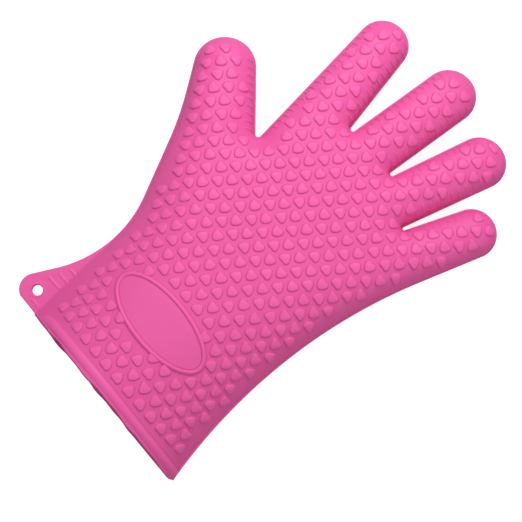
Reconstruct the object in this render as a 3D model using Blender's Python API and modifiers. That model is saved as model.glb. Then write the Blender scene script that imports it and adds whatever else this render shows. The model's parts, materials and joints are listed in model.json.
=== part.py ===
"""Moulded silicone heat resistant glove, 290 mm long.

Gauntlet-style kitchen and barbecue glove: one hollow shell with a flared
gauntlet, five digits, a rolled rim bead round the mouth, a flat hanging tab
with a hole and a raised oval badge. The shell is divided at the flex creases,
so the wrist, the thumb and every finger bend towards the palm side (+Z).

The shape is drawn in the moulding frame: millimetres, the parting plane is
z = 0, +Y runs from the mouth to the fingertips and +Z is the badge side. At
the end everything is tipped by REST_TILT so that the mouth and the fingertips
rest on one level surface, and converted to metres.
"""
import math

import bmesh
import bpy
import numpy as np
from mathutils import Matrix, Vector
from mathutils.geometry import delaunay_2d_cdt

NAME = "heat_resistant_glove"
METRES_PER_MM = 0.001

# ---------------------------------------------------------------- shell
WALL = 1.8              # silicone wall thickness
SLIT = 0.5              # clearance between neighbouring shell pieces
GAP = 0.3               # clearance between a moulded-on feature and the shell
RIM_Y = -120.4          # mouth of the gauntlet, at the parting plane
RIM_SLANT = math.radians(7.0)   # lean of the mouth, lower lip further out
ROUGH_TRIM = 12.0       # spare length left beyond the mouth before the final cut
MOUTH_BLOCK = (200, 40, 120)    # block that trims the mouth flat

# Belt of circles (x, y, radius, turn): the plan outline runs clockwise round
# them with straight tangents between; +1 is a convex arc, -1 a concave one.
SLEEVE_LEFT = (-51.8, -200.0, 12.0, 1)
THUMB_SIDE_WAIST = (-138.5, -61.6, 72.7, -1)
THENAR_CURVE = (-268.8, -86.5, 200.0, -1)
THUMB_TIP = (-104.3, 59.3, 19.0, 1)
THUMB_CROTCH = (-59.5, 48.0, 1.7, -1)
INDEX_TIP = (-53.6, 141.7, 16.0, 1)
INDEX_MIDDLE_CROTCH = (-25.6, 93.6, 1.4, -1)
MIDDLE_TIP = (-3.9, 151.7, 16.6, 1)
MIDDLE_RING_CROTCH = (10.2, 93.7, 1.2, -1)
RING_TIP = (38.8, 138.6, 15.9, 1)
RING_LITTLE_CROTCH = (39.6, 77.3, 0.9, -1)
LITTLE_TIP = (67.7, 106.4, 14.9, 1)
LITTLE_SIDE_WAIST = (383.9, -37.4, 330.0, -1)
SLEEVE_RIGHT = (72.9, -198.3, 12.0, 1)
BELT = [
    SLEEVE_LEFT, THUMB_SIDE_WAIST, THENAR_CURVE, THUMB_TIP, THUMB_CROTCH,
    INDEX_TIP, INDEX_MIDDLE_CROTCH, MIDDLE_TIP, MIDDLE_RING_CROTCH,
    RING_TIP, RING_LITTLE_CROTCH, LITTLE_TIP, LITTLE_SIDE_WAIST, SLEEVE_RIGHT,
]
LEAST_RADIUS = 0.4      # smallest arc left when the belt is moved inward
LARGE_RADIUS = 60.0     # arcs above this are divided more coarsely
SMALL_RADIUS = 3.0      # arcs up to this get at least three segments

# Section tables against y: half thickness, width of the rounded edge and
# squareness of that edge (0.5 is an ellipse, towards 1 a lens).
HALF_THICKNESS = [
    (-160, 38.0), (-122, 34.0), (-90, 30.0), (-60, 26.5), (-30, 23.0), (0, 19.5),
    (30, 16.5), (60, 14.2), (90, 12.3), (120, 11.6), (175, 11.4),
]
EDGE_WIDTH = [
    (-160, 62.0), (-122, 61.0), (-90, 57.0), (-60, 50.0), (-30, 40.0), (0, 32.0),
    (30, 26.0), (60, 19.0), (90, 16.0), (120, 15.0), (175, 15.0),
]
EDGE_POWER = [(-160, 0.85), (-122, 0.82), (-60, 0.74), (0, 0.62), (60, 0.52), (175, 0.5)]

# The thumb has its own edge width, blended in from the crotch outwards.
THUMB_EDGE_WIDTH = 18.2
THUMB_BLEND_WAY = (-0.8, 0.6)
THUMB_BLEND_LENGTH = 20.0
THUMB_BLEND_MAX_X = -59

# Spacing of the skin's mesh points
FINE_STEP = 1.5         # outline used for measuring distances
OUTLINE_STEP = 8.0
EDGE_ROWS = (1.5, 5.0, 10.0)    # insets of the rows along the outline
ROW_TOLERANCE = 0.6     # row points further than this from their inset are dropped
FIELD_STEP = 12.0
FIELD_X = (-126, 90)
FIELD_Y = (-186, 175)
FIELD_FROM_ROWS = 4.0   # clearance of the field from the innermost row
FIELD_FROM_RIDGES = 7.0
RIDGE_STEP = 9.0
RIDGE_PAST_HINGE = 14.0
THUMB_RIDGE = 40.0
SEAM_INSET = 0.02       # points nearer the outline than this lie on the parting plane

# ---------------------------------------------------------------- hinges
# Digits: tip circle, lean from +Y (positive towards +X) in degrees, then
# (joint, distance of the hinge back from the tip centre, range in degrees).
DIGITS = {
    "index": (INDEX_TIP, -9.9,
              (("proximal", 43.0, 50.0), ("middle", 23.5, 55.0), ("distal", 6.0, 35.0))),
    "middle": (MIDDLE_TIP, 3.9,
               (("proximal", 47.0, 50.0), ("middle", 27.0, 55.0), ("distal", 7.5, 35.0))),
    "ring": (RING_TIP, 14.5,
             (("proximal", 41.0, 50.0), ("middle", 23.0, 55.0), ("distal", 6.0, 35.0))),
    "little": (LITTLE_TIP, 17.9,
               (("proximal", 28.5, 45.0), ("middle", 14.0, 50.0), ("distal", 1.0, 30.0))),
}
THUMB_LEAN = -42.0
THUMB_TIP_BACK = 8.0         # distance of the tip hinge back from the tip centre
THUMB_TIP_RANGE = 45.0
THUMB_BASE_LEAN = -57.0      # the thumb root folds across the palm
THUMB_BASE_PAST_CROTCH = 11.2
THUMB_BASE_ACROSS = -28.0
THUMB_BASE_RANGE = 45.0
WRIST = (-6.0, -32.0)
WRIST_RANGE = 40.0
NOTCH_SPARE = 1.5            # degrees a notch is wider than its hinge needs

# Reach of each crease cutter above and below the parting plane
FINGER_CUT = 20.0
THUMB_BASE_CUT = 26.0
THUMB_TIP_CUT = 22.0
WRIST_CUT = 45.0

# Sideways search for the end of a crease
REACH_LIMIT = 80.0
REACH_STEP = 0.1
OPEN_SIDE_GAP = 10.0         # gap assumed where no neighbouring digit is met
MOST_OVERHANG = 1.5

# Rough middles of the pieces that are not part of a finger
FIXED_SEATS = {"palm_shell": (-8, 25, 0), "gauntlet_shell": (-4, -78, 0)}
THUMB_SEATS = {"thumb_proximal": (-88, 42, 0), "thumb_distal": (-106, 61, 0)}
MERGE_DISTANCE = 1e-3
LEAST_PIECE_VOLUME = 20.0    # cubic mm; smaller offcuts are dropped

# ---------------------------------------------------------------- rim bead
BEAD_Y = -115.2
BEAD_HALF_WIDTH = 2.3
BEAD_PROUD = 2.2
BEAD_FOOT = GAP + 0.45
BEAD_FROM_TAB = 4.0          # height of the bead's ends beyond the tab's faces
BEAD_STATIONS = 33           # along each half of the section
BEAD_SHOULDER = GAP + 0.55 * BEAD_PROUD
BEAD_TOP = GAP + BEAD_PROUD
# Columns: height above the skin, place across the bead along Y
BEAD_PROFILE = [
    (BEAD_FOOT, -BEAD_HALF_WIDTH),
    (BEAD_SHOULDER, -0.82 * BEAD_HALF_WIDTH),
    (BEAD_TOP, -0.32 * BEAD_HALF_WIDTH),
    (BEAD_TOP, 0.32 * BEAD_HALF_WIDTH),
    (BEAD_SHOULDER, 0.82 * BEAD_HALF_WIDTH),
    (BEAD_FOOT, BEAD_HALF_WIDTH),
]

# ---------------------------------------------------------------- hanging tab
TAB_THICK = 3.0
TAB_CORNER = (-71.7, -111.3, 9.3)    # x, y, radius
TAB_CORNER_SWEEP = math.radians(118)
TAB_CORNER_POINTS = 13
TAB_HOLE = (-70.1, -110.7, 3.0)      # x, y, radius
TAB_HOLE_SEGMENTS = 24
TAB_EDGE_Y = -120.3
TAB_TOP_Y = -82.0
TAB_INNER_POINTS = 8

# ---------------------------------------------------------------- badge
BADGE_CENTRE = (-7.5, -67.7)
BADGE_HALF = (35.2, 15.6)
BADGE_SEGMENTS = 40
BADGE_RIM_WIDTH = 2.7
BADGE_RIM_HIGH = 1.5
BADGE_RIM_SHOULDER = 0.75 * BADGE_RIM_HIGH
BADGE_PANEL_HIGH = 0.7
BADGE_PANEL_INSET = BADGE_RIM_WIDTH + GAP
BADGE_PANEL_ROWS = (BADGE_PANEL_INSET, BADGE_PANEL_INSET + 4.0, BADGE_PANEL_INSET + 8.0)

# ---------------------------------------------------------------- rest pose
REST_SPAN = 152.0 + 119.4    # from the rim's contact to the fingertip's, along Y
RIM_DEPTH = HALF_THICKNESS[1][1] + GAP + BEAD_PROUD
TIP_DEPTH = HALF_THICKNESS[-1][1]
REST_TILT = math.atan((RIM_DEPTH - TIP_DEPTH) / REST_SPAN)

# ---------------------------------------------------------------- materials
PINK = (0.807, 0.130, 0.381)
ROUGHNESS = 0.45
DARKER = 0.92                # brightness of the darker parts
DARKER_PARTS = ("badge_panel", "hang_tab")
SHARP_ANGLE = math.radians(35)

# ---------------------------------------------------------------- family tree
GAUNTLET_FEATURES = ("cuff_rim_bead", "hang_tab", "badge_rim", "badge_panel")
PARENTS = {
    "gauntlet_shell": "palm_shell",
    "thumb_proximal": "palm_shell",
    "thumb_distal": "thumb_proximal",
}
PARENTS.update({feature: "gauntlet_shell" for feature in GAUNTLET_FEATURES})
for digit in DIGITS:
    PARENTS[f"{digit}_finger_proximal"] = "palm_shell"
    PARENTS[f"{digit}_finger_middle"] = f"{digit}_finger_proximal"
    PARENTS[f"{digit}_finger_distal"] = f"{digit}_finger_middle"


# ------------------------------------------------------------- plan outline
def tangent(one, two):
    """Both ends of the straight run from circle one to circle two."""
    x1, y1, radius1, turn1 = one
    x2, y2, radius2, turn2 = two
    span = math.hypot(x2 - x1, y2 - y1)
    heading = (math.atan2(y2 - y1, x2 - x1)
               + math.asin((turn2 * radius2 - turn1 * radius1) / span))
    nx, ny = -math.sin(heading), math.cos(heading)
    return ((x1 + turn1 * radius1 * nx, y1 + turn1 * radius1 * ny),
            (x2 + turn2 * radius2 * nx, y2 + turn2 * radius2 * ny))


def arc_segments(sweep, radius, step):
    if radius > LARGE_RADIUS:
        return max(2, int(math.ceil(abs(sweep) * radius / (1.4 * step))))
    least = 2 if radius > SMALL_RADIUS else 3
    return max(least, int(math.ceil(abs(sweep) * radius / step)))


def belt_points(step, inset=0.0):
    """Points along the belt, moved inward by inset; divided by the sizes at inset 0."""
    moved = [(x, y, max(LEAST_RADIUS, radius - turn * inset), turn)
             for x, y, radius, turn in BELT]
    runs = [tangent(moved[i], moved[(i + 1) % len(moved)]) for i in range(len(moved))]
    points = []
    for i, (x, y, radius, turn) in enumerate(moved):
        arrive = runs[i - 1][1]
        leave, run_end = runs[i]
        start = math.atan2(arrive[1] - y, arrive[0] - x)
        sweep = (math.atan2(leave[1] - y, leave[0] - x) - start) % (2 * math.pi)
        if turn > 0:
            sweep -= 2 * math.pi
        count = arc_segments(sweep, BELT[i][2], step)
        for j in range(count + 1):
            angle = start + sweep * j / count
            points.append((x + radius * math.cos(angle), y + radius * math.sin(angle)))
        base_start, base_end = tangent(BELT[i], BELT[(i + 1) % len(BELT)])
        length = math.hypot(base_end[0] - base_start[0], base_end[1] - base_start[1])
        count = max(1, int(length // (1.2 * step)))
        for j in range(1, count):
            points.append((leave[0] + (run_end[0] - leave[0]) * j / count,
                           leave[1] + (run_end[1] - leave[1]) * j / count))
    return np.array(points)


FINE_OUTLINE = belt_points(FINE_STEP)


def edge_distance(points):
    """Distance inward from the plan outline; negative outside."""
    points = np.atleast_2d(np.asarray(points, float))
    start, end = FINE_OUTLINE, np.roll(FINE_OUTLINE, -1, axis=0)
    side = end - start
    length2 = np.maximum((side * side).sum(1), 1e-12)
    rise = np.where(np.abs(side[:, 1]) < 1e-12, 1e-12, side[:, 1])
    out = np.empty(len(points))
    batch = 400     # points handled at once, to bound the memory used
    for low in range(0, len(points), batch):
        query = points[low:low + batch, None, :]
        along = np.clip(((query - start) * side).sum(2) / length2, 0, 1)
        offset = query - (start + along[..., None] * side)
        near = np.hypot(*np.moveaxis(offset, 2, 0)).min(1)
        crossing = (start[:, 1] > query[..., 1]) != (end[:, 1] > query[..., 1])
        cross_x = start[:, 0] + (query[..., 1] - start[:, 1]) / rise * side[:, 0]
        inside = (crossing & (query[..., 0] < cross_x)).sum(1) % 2 == 1
        out[low:low + batch] = np.where(inside, near, -near)
    return out


def inside_x(probe, y):
    """The x values of the probe that lie inside the outline at y."""
    return probe[edge_distance(np.c_[probe, np.full(len(probe), y)]) > 0]


def table(rows, y):
    """Smooth monotone curve through the rows of a section table."""
    knots = np.array(rows, float)
    y = np.clip(y, knots[0, 0], knots[-1, 0])
    width = np.diff(knots[:, 0])
    slope = np.diff(knots[:, 1]) / width
    before, after = slope[:-1], slope[1:]
    middle = np.where(after * before > 0, 2 * after * before / (after + before + 1e-12), 0.0)
    grade = np.concatenate([[slope[0]], middle, [slope[-1]]])
    i = np.clip(np.searchsorted(knots[:, 0], y) - 1, 0, len(width) - 1)
    t = (y - knots[i, 0]) / width[i]
    return ((1 + 2 * t) * (1 - t) ** 2 * knots[i, 1]
            + t * (1 - t) ** 2 * width[i] * grade[i]
            + t * t * (3 - 2 * t) * knots[i + 1, 1]
            + t * t * (t - 1) * width[i] * grade[i + 1])


def half_height(points):
    """Height of the outer skin above the parting plane."""
    points = np.atleast_2d(np.asarray(points, float))
    x, y = points[:, 0], points[:, 1]
    inward = np.maximum(edge_distance(points), 0)
    outward = ((x - THUMB_CROTCH[0]) * THUMB_BLEND_WAY[0]
               + (y - THUMB_CROTCH[1]) * THUMB_BLEND_WAY[1])
    t = np.clip(outward / THUMB_BLEND_LENGTH, 0, 1) * (x < THUMB_BLEND_MAX_X)
    thumb = t * t * (3 - 2 * t)
    width = table(EDGE_WIDTH, y) * (1 - thumb) + THUMB_EDGE_WIDTH * thumb
    s = np.clip(inward / width, 0, 1)
    return table(HALF_THICKNESS, y) * (1 - (1 - s) ** 2) ** table(EDGE_POWER, y)


# ------------------------------------------------------------- small helpers
def direction(lean):
    """Unit vector in plan, lean degrees from +Y towards +X."""
    angle = math.radians(lean)
    return Vector((math.sin(angle), math.cos(angle), 0.0))


def across(along):
    return Vector((along.y, -along.x, 0.0))


def flat_point(circle):
    """Centre of a circle, on the parting plane."""
    return Vector((circle[0], circle[1], 0))


def arc(circle, angles):
    x, y, radius = circle
    return [(x + radius * math.cos(a), y + radius * math.sin(a)) for a in angles]


def new_collection(name):
    collection = bpy.data.collections.new(name)
    bpy.context.scene.collection.children.link(collection)
    return collection


def new_object(name, bm, collection):
    mesh = bpy.data.meshes.new(name)
    bm.to_mesh(mesh)
    bm.free()
    obj = bpy.data.objects.new(name, mesh)
    collection.objects.link(obj)
    return obj


def new_solid(name, bm, collection):
    """New object with its normals made consistent."""
    bmesh.ops.recalc_face_normals(bm, faces=bm.faces)
    return new_object(name, bm, collection)


def as_cutter(obj):
    obj.hide_render = True
    obj.display_type = "WIRE"
    return obj


def evaluated_mesh(obj):
    """Mesh of an object with its modifiers applied; the object is removed."""
    depsgraph = bpy.context.evaluated_depsgraph_get()
    mesh = bpy.data.meshes.new_from_object(obj.evaluated_get(depsgraph))
    bpy.data.objects.remove(obj, do_unlink=True)
    return mesh


def loft(rings, closed=False):
    """Skin through rings of points: a closed loop of rings, or open with end caps."""
    bm = bmesh.new()
    grid = [[bm.verts.new(point) for point in ring] for ring in rings]
    following = grid[1:] + grid[:1] if closed else grid[1:]
    for a, b in zip(grid, following):
        for i in range(len(a)):
            j = (i + 1) % len(a)
            bm.faces.new((a[i], a[j], b[j], b[i]))
    if not closed:
        bm.faces.new(grid[0])
        bm.faces.new(grid[-1][::-1])
    return bm


# ------------------------------------------------------------- outer skin
def ridge_points(tip, lean, length):
    """Points down the middle line of a digit, from its tip centre."""
    along = direction(lean)
    return [(tip[0] - s * along.x, tip[1] - s * along.y)
            for s in np.arange(0, length, RIDGE_STEP)]


def skin_points():
    """Plan points of the skin, and how many of the first ones are the outline."""
    outline = belt_points(OUTLINE_STEP)
    rows = [outline]
    for inset in EDGE_ROWS:
        row = belt_points(OUTLINE_STEP, inset)
        rows.append(row[np.abs(edge_distance(row) - inset) < ROW_TOLERANCE])

    ridge = []
    for tip, lean, hinges in DIGITS.values():
        ridge += ridge_points(tip, lean, hinges[0][1] + RIDGE_PAST_HINGE)
    ridge += ridge_points(THUMB_TIP, THUMB_LEAN, THUMB_RIDGE)
    ridge = np.array(ridge)

    # Staggered field inside the rows, kept clear of the ridges
    field = np.array([(x + (FIELD_STEP / 2 if j % 2 else 0), y)
                      for j, y in enumerate(np.arange(*FIELD_Y, FIELD_STEP))
                      for x in np.arange(*FIELD_X, FIELD_STEP)])
    field = field[edge_distance(field) > EDGE_ROWS[-1] + FIELD_FROM_ROWS]
    to_ridge = np.hypot(field[:, None, 0] - ridge[None, :, 0],
                        field[:, None, 1] - ridge[None, :, 1])
    field = field[np.min(to_ridge, axis=1) > FIELD_FROM_RIDGES]
    return np.vstack(rows + [ridge, field]), len(outline)


def build_shell_blank(collection):
    """Whole glove skin, mirrored about the parting plane, with its wall modifier."""
    points, outline_count = skin_points()
    loop = [(i, (i + 1) % outline_count) for i in range(outline_count)]
    verts2d, _, faces, _, _, _ = delaunay_2d_cdt(
        [Vector(point) for point in points], loop, [], 1, 1e-5)
    plan = np.array([(v.x, v.y) for v in verts2d])
    rise = np.where(edge_distance(plan) < SEAM_INSET, 0.0, half_height(plan))

    bm = bmesh.new()
    top = [bm.verts.new((x, y, z)) for (x, y), z in zip(plan, rise)]
    low = [vert if z == 0 else bm.verts.new((x, y, -z))
           for vert, (x, y), z in zip(top, plan, rise)]
    for a, b, c in faces:
        # A triangle wholly on the parting plane would be doubled up
        if max(rise[a], rise[b], rise[c]) > 0:
            bm.faces.new((top[a], top[b], top[c]))
            bm.faces.new((low[c], low[b], low[a]))
    bmesh.ops.recalc_face_normals(bm, faces=bm.faces)
    bmesh.ops.bisect_plane(
        bm, geom=bm.verts[:] + bm.edges[:] + bm.faces[:], dist=1e-5,
        plane_co=(0, RIM_Y - ROUGH_TRIM, 0),
        plane_no=(0, -math.cos(RIM_SLANT), math.sin(RIM_SLANT)), clear_outer=True)
    shell = new_object("glove_shell_blank", bm, collection)
    wall = shell.modifiers.new("wall", "SOLIDIFY")
    wall.thickness = WALL
    wall.offset = -1.0
    wall.use_even_offset = True
    wall.use_rim = True
    return shell


# ------------------------------------------------------------- flex creases
def hinge_table():
    """Piece name: hinge centre, direction along the piece, range, cutter reach."""
    hinges = {}
    for digit, (tip, lean, joints) in DIGITS.items():
        along = direction(lean)
        for joint, back, swing in joints:
            hinges[f"{digit}_finger_{joint}"] = (
                flat_point(tip) - back * along, along, swing, FINGER_CUT)
    along = direction(THUMB_BASE_LEAN)
    centre = (flat_point(THUMB_CROTCH) + THUMB_BASE_PAST_CROTCH * along
              + THUMB_BASE_ACROSS * across(along))
    hinges["thumb_proximal"] = (centre, along, THUMB_BASE_RANGE, THUMB_BASE_CUT)
    along = direction(THUMB_LEAN)
    centre = flat_point(THUMB_TIP) - THUMB_TIP_BACK * along
    hinges["thumb_distal"] = (centre, along, THUMB_TIP_RANGE, THUMB_TIP_CUT)
    hinges["gauntlet_shell"] = (flat_point(WRIST), Vector((0, -1, 0)), WRIST_RANGE, WRIST_CUT)
    return hinges


def side_reach(centre, side, sign):
    """How far the glove reaches sideways from centre, plus up to half the free gap."""
    reach = np.arange(0.0, REACH_LIMIT, REACH_STEP)
    line = np.array([(centre.x + sign * r * side.x, centre.y + sign * r * side.y)
                     for r in reach])
    free = edge_distance(line) < 0
    first = int(np.argmax(free))
    rest = ~free[first:]
    gap = OPEN_SIDE_GAP
    if rest.any():
        gap = reach[first + int(np.argmax(rest))] - reach[first]
    return float(reach[first] + min(MOST_OVERHANG, 0.5 * gap))


def build_crease(name, centre, along, swing, tall, collection):
    """Wedge cutter: a notch above the hinge line and a slit below it."""
    side = across(along)
    left, right = side_reach(centre, side, -1), side_reach(centre, side, 1)
    half = SLIT / 2
    wide = half + tall * math.tan(math.radians(swing / 2 + NOTCH_SPARE))
    outline = [(-half, -tall), (half, -tall), (half, 0.0),
               (wide, tall), (-wide, tall), (-half, 0.0)]
    bm = bmesh.new()
    near = [bm.verts.new(centre + s * along - left * side + Vector((0, 0, z)))
            for s, z in outline]
    far = [bm.verts.new(centre + s * along + right * side + Vector((0, 0, z)))
           for s, z in outline]
    bm.faces.new(near)
    bm.faces.new(far[::-1])
    for i in range(len(outline)):
        j = (i + 1) % len(outline)
        bm.faces.new((near[i], far[i], far[j], near[j]))
    return as_cutter(new_solid(name, bm, collection))


def build_mouth_cutter(collection):
    """Block whose near face is the plane of the mouth."""
    bm = bmesh.new()
    bmesh.ops.create_cube(bm, size=1.0)
    bmesh.ops.scale(bm, vec=MOUTH_BLOCK, verts=bm.verts)
    bmesh.ops.translate(bm, vec=(0, -MOUTH_BLOCK[1] / 2, 0), verts=bm.verts)
    bmesh.ops.rotate(bm, cent=(0, 0, 0), matrix=Matrix.Rotation(-RIM_SLANT, 3, "X"),
                     verts=bm.verts)
    bmesh.ops.translate(bm, vec=(0, RIM_Y, 0), verts=bm.verts)
    return as_cutter(new_object("cut_mouth", bm, collection))


def cut_shell(shell, tools):
    """Cut the blank with every tool and return the triangulated result."""
    for tool in tools:
        cut = shell.modifiers.new(tool.name, "BOOLEAN")
        cut.operation = "DIFFERENCE"
        cut.object = tool
        cut.solver = "EXACT"
    bm = bmesh.new()
    bm.from_mesh(evaluated_mesh(shell))
    bmesh.ops.remove_doubles(bm, verts=bm.verts, dist=MERGE_DISTANCE)
    bmesh.ops.dissolve_degenerate(bm, edges=bm.edges, dist=MERGE_DISTANCE)
    bmesh.ops.triangulate(bm, faces=bm.faces)
    return bm


# ------------------------------------------------------------- shell pieces
def find_islands(bm):
    """Sets of vertex indices, one for each connected part."""
    islands, seen = [], set()
    for start in bm.verts:
        if start.index in seen:
            continue
        stack, island = [start], set()
        seen.add(start.index)
        while stack:
            vert = stack.pop()
            island.add(vert.index)
            for edge in vert.link_edges:
                other = edge.other_vert(vert)
                if other.index not in seen:
                    seen.add(other.index)
                    stack.append(other)
        islands.append(island)
    return islands


def seat_table():
    """Rough middle of every shell piece, by name."""
    seats = {name: Vector(place) for name, place in FIXED_SEATS.items()}
    for digit, (tip, lean, joints) in DIGITS.items():
        along = direction(lean)
        ends = [back for _, back, _ in joints[1:]] + [-tip[2]]
        for (joint, back, _), end in zip(joints, ends):
            seats[f"{digit}_finger_{joint}"] = flat_point(tip) - 0.5 * (back + end) * along
    seats.update({name: Vector(place) for name, place in THUMB_SEATS.items()})
    return seats


def plan_middle(bm):
    """Middle of the bounding box in plan."""
    xs = [v.co.x for v in bm.verts]
    ys = [v.co.y for v in bm.verts]
    return (Vector((min(xs), min(ys), 0)) + Vector((max(xs), max(ys), 0))) / 2


def split_shell(bm, collection):
    """One object per piece; each island goes to the nearest seat, the largest wins."""
    seats = seat_table()
    pieces = {}
    for island in find_islands(bm):
        piece = bm.copy()
        spare = [v for v in piece.verts if v.index not in island]
        bmesh.ops.delete(piece, geom=spare, context="VERTS")
        middle = plan_middle(piece)
        volume = abs(piece.calc_volume(signed=True))
        name = min(seats, key=lambda n: (seats[n] - middle).length)
        if volume < LEAST_PIECE_VOLUME or (name in pieces and pieces[name][1] > volume):
            piece.free()
            continue
        pieces[name] = (piece, volume)
    bm.free()
    return {name: new_object(name, pieces[name][0], collection) for name in seats}


# ------------------------------------------------------------- rim bead
def mouth_section(y, count):
    """Outer section parallel to the mouth, from the tab side over the top and back."""
    inside = inside_x(np.arange(-75.0, 80.0, 0.05), y)
    left, right = inside[0], inside[-1]
    x = (left + right) / 2 - (right - left) / 2 * np.cos(np.linspace(0, math.pi, count))
    sides = []
    for sign in (1, -1):
        z = np.zeros(count)
        # Each round moves the points onto the slanted plane more closely
        for _ in range(6):
            z = half_height(np.c_[x, y + sign * math.tan(RIM_SLANT) * z])
        z[0] = z[-1] = 0
        sides.append(z)
    return np.array(list(zip(x, sides[0])) + list(zip(x[-2:0:-1], -sides[1][-2:0:-1])))


def build_rim_bead(collection):
    """Open ring just inside the mouth; its ends stop either side of the tab."""
    ring = mouth_section(BEAD_Y - BEAD_HALF_WIDTH, BEAD_STATIONS)
    count = len(ring)
    heading = np.roll(ring, -1, axis=0) - np.roll(ring, 1, axis=0)
    heading /= np.linalg.norm(heading, axis=1)[:, None]
    normal = np.c_[-heading[:, 1], heading[:, 0]]
    first = next(i for i in range(count) if ring[i][1] > TAB_THICK / 2 + BEAD_FROM_TAB)
    rings = [[(ring[i][0] + out * normal[i][0],
               BEAD_Y + over + math.tan(RIM_SLANT) * ring[i][1],
               ring[i][1] + out * normal[i][1])
              for out, over in BEAD_PROFILE]
             for i in range(first, count - first + 1)]
    return new_solid("cuff_rim_bead", loft(rings), collection)


# ------------------------------------------------------------- hanging tab
def tab_outline():
    """Sloping side, rounded corner, straight foot, then up beside the shell."""
    (low_x, low_y), (high_x, high_y) = tangent((*TAB_CORNER, 1), THUMB_SIDE_WAIST)
    top_x = low_x + (high_x - low_x) * (TAB_TOP_Y - low_y) / (high_y - low_y)
    start = math.atan2(low_y - TAB_CORNER[1], low_x - TAB_CORNER[0])
    angles = np.linspace(start, start + TAB_CORNER_SWEEP, TAB_CORNER_POINTS)
    corner = [(x, max(y, TAB_EDGE_Y)) for x, y in arc(TAB_CORNER, angles)
              if y > TAB_EDGE_Y - 0.01]
    probe = np.arange(-75.0, -50.0, 0.02)
    inner = [(float(inside_x(probe, y)[0]) - GAP, y)
             for y in np.linspace(TAB_EDGE_Y, TAB_TOP_Y, TAB_INNER_POINTS)]
    return [(top_x, TAB_TOP_Y)] + corner + inner


def build_hang_tab(collection):
    curve = bpy.data.curves.new("hang_tab", "CURVE")
    curve.dimensions = "2D"
    curve.fill_mode = "BOTH"
    curve.extrude = TAB_THICK / 2
    hole = arc(TAB_HOLE, np.linspace(0, 2 * math.pi, TAB_HOLE_SEGMENTS + 1)[:-1])
    for loop in (tab_outline(), hole):
        spline = curve.splines.new("POLY")
        spline.points.add(len(loop) - 1)
        for point, (x, y) in zip(spline.points, loop):
            point.co = (x, y, 0, 1)
        spline.use_cyclic_u = True
    tab = bpy.data.objects.new("hang_tab_curve", curve)
    collection.objects.link(tab)
    bm = bmesh.new()
    bm.from_mesh(evaluated_mesh(tab))
    bmesh.ops.remove_doubles(bm, verts=bm.verts, dist=MERGE_DISTANCE)
    return new_solid("hang_tab", bm, collection)


# ------------------------------------------------------------- oval badge
def badge_ring(inset, lift):
    """Ellipse inset from the badge's edge, lifted off the skin."""
    plan = [(BADGE_CENTRE[0] + (BADGE_HALF[0] - inset) * math.cos(a),
             BADGE_CENTRE[1] + (BADGE_HALF[1] - inset) * math.sin(a))
            for a in np.linspace(0, 2 * math.pi, BADGE_SEGMENTS + 1)[:-1]]
    return [(x, y, base + lift) for (x, y), base in zip(plan, half_height(plan))]


def build_badge_rim(collection):
    profile = [     # inset, lift
        (0.0, GAP),
        (0.2, BADGE_RIM_SHOULDER),
        (0.9, BADGE_RIM_HIGH),
        (BADGE_RIM_WIDTH - 0.9, BADGE_RIM_HIGH),
        (BADGE_RIM_WIDTH - 0.2, BADGE_RIM_SHOULDER),
        (BADGE_RIM_WIDTH, GAP),
    ]
    rings = [badge_ring(inset, lift) for inset, lift in profile]
    return new_solid("badge_rim", loft(rings, closed=True), collection)


def build_badge_panel(collection):
    under = [badge_ring(inset, GAP) for inset in BADGE_PANEL_ROWS[::-1]]
    over = [badge_ring(inset, BADGE_PANEL_HIGH) for inset in BADGE_PANEL_ROWS]
    bm = loft(under + over)
    bmesh.ops.triangulate(bm, faces=[f for f in bm.faces if len(f.verts) > 4])
    return new_solid("badge_panel", bm, collection)


# ------------------------------------------------------------- finishing
def silicone(name):
    """Pink silicone, one material per piece."""
    shade = DARKER if name in DARKER_PARTS else 1.0
    colour = (*(c * shade for c in PINK), 1.0)
    mat = bpy.data.materials.new("silicone_" + name)
    mat.use_nodes = True
    shader = mat.node_tree.nodes["Principled BSDF"]
    shader.inputs["Base Color"].default_value = colour
    shader.inputs["Roughness"].default_value = ROUGHNESS
    shader.inputs["Metallic"].default_value = 0.0
    mat.diffuse_color = colour
    return mat


def rest_and_parent(objects, hinges):
    """Tip into the rest pose in metres, set origins at the hinges and parent."""
    tilt = Matrix.Rotation(-REST_TILT, 4, "X")
    for obj in objects.values():
        obj.data.transform(Matrix.Scale(METRES_PER_MM, 4) @ tilt)
    points = np.array([v.co[:] for obj in objects.values() for v in obj.data.vertices])
    low, high = points.min(axis=0), points.max(axis=0)
    # Centred in plan, standing on z = 0
    shift = Vector((-(low[0] + high[0]) / 2, -(low[1] + high[1]) / 2, -low[2]))

    origins = {"palm_shell": Vector((0, 0, 0))}
    for name, (centre, *_) in hinges.items():
        origins[name] = (tilt @ centre) * METRES_PER_MM + shift
    for name in GAUNTLET_FEATURES:
        origins[name] = origins["gauntlet_shell"]
    for name, obj in objects.items():
        obj.data.transform(Matrix.Translation(shift - origins[name]))
        obj.location = origins[name]
        parent = PARENTS.get(name)
        if parent:
            obj.parent = objects[parent]
            obj.location = origins[name] - origins[parent]


def main():
    for old in list(bpy.data.objects):
        bpy.data.objects.remove(old, do_unlink=True)
    parts = new_collection(NAME)
    cutters = new_collection(NAME + "_cutters")

    shell = build_shell_blank(parts)
    hinges = hinge_table()
    tools = [build_mouth_cutter(cutters)]
    for name, hinge in hinges.items():
        tools.append(build_crease("cut_" + name.removesuffix("_shell"), *hinge, cutters))
    objects = split_shell(cut_shell(shell, tools), parts)

    for build in (build_rim_bead, build_hang_tab, build_badge_rim, build_badge_panel):
        obj = build(parts)
        objects[obj.name] = obj

    rest_and_parent(objects, hinges)
    for name, obj in objects.items():
        obj.data.materials.append(silicone(name))
        obj.data.shade_smooth()
        obj.data.set_sharp_from_angle(angle=SHARP_ANGLE)


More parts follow.
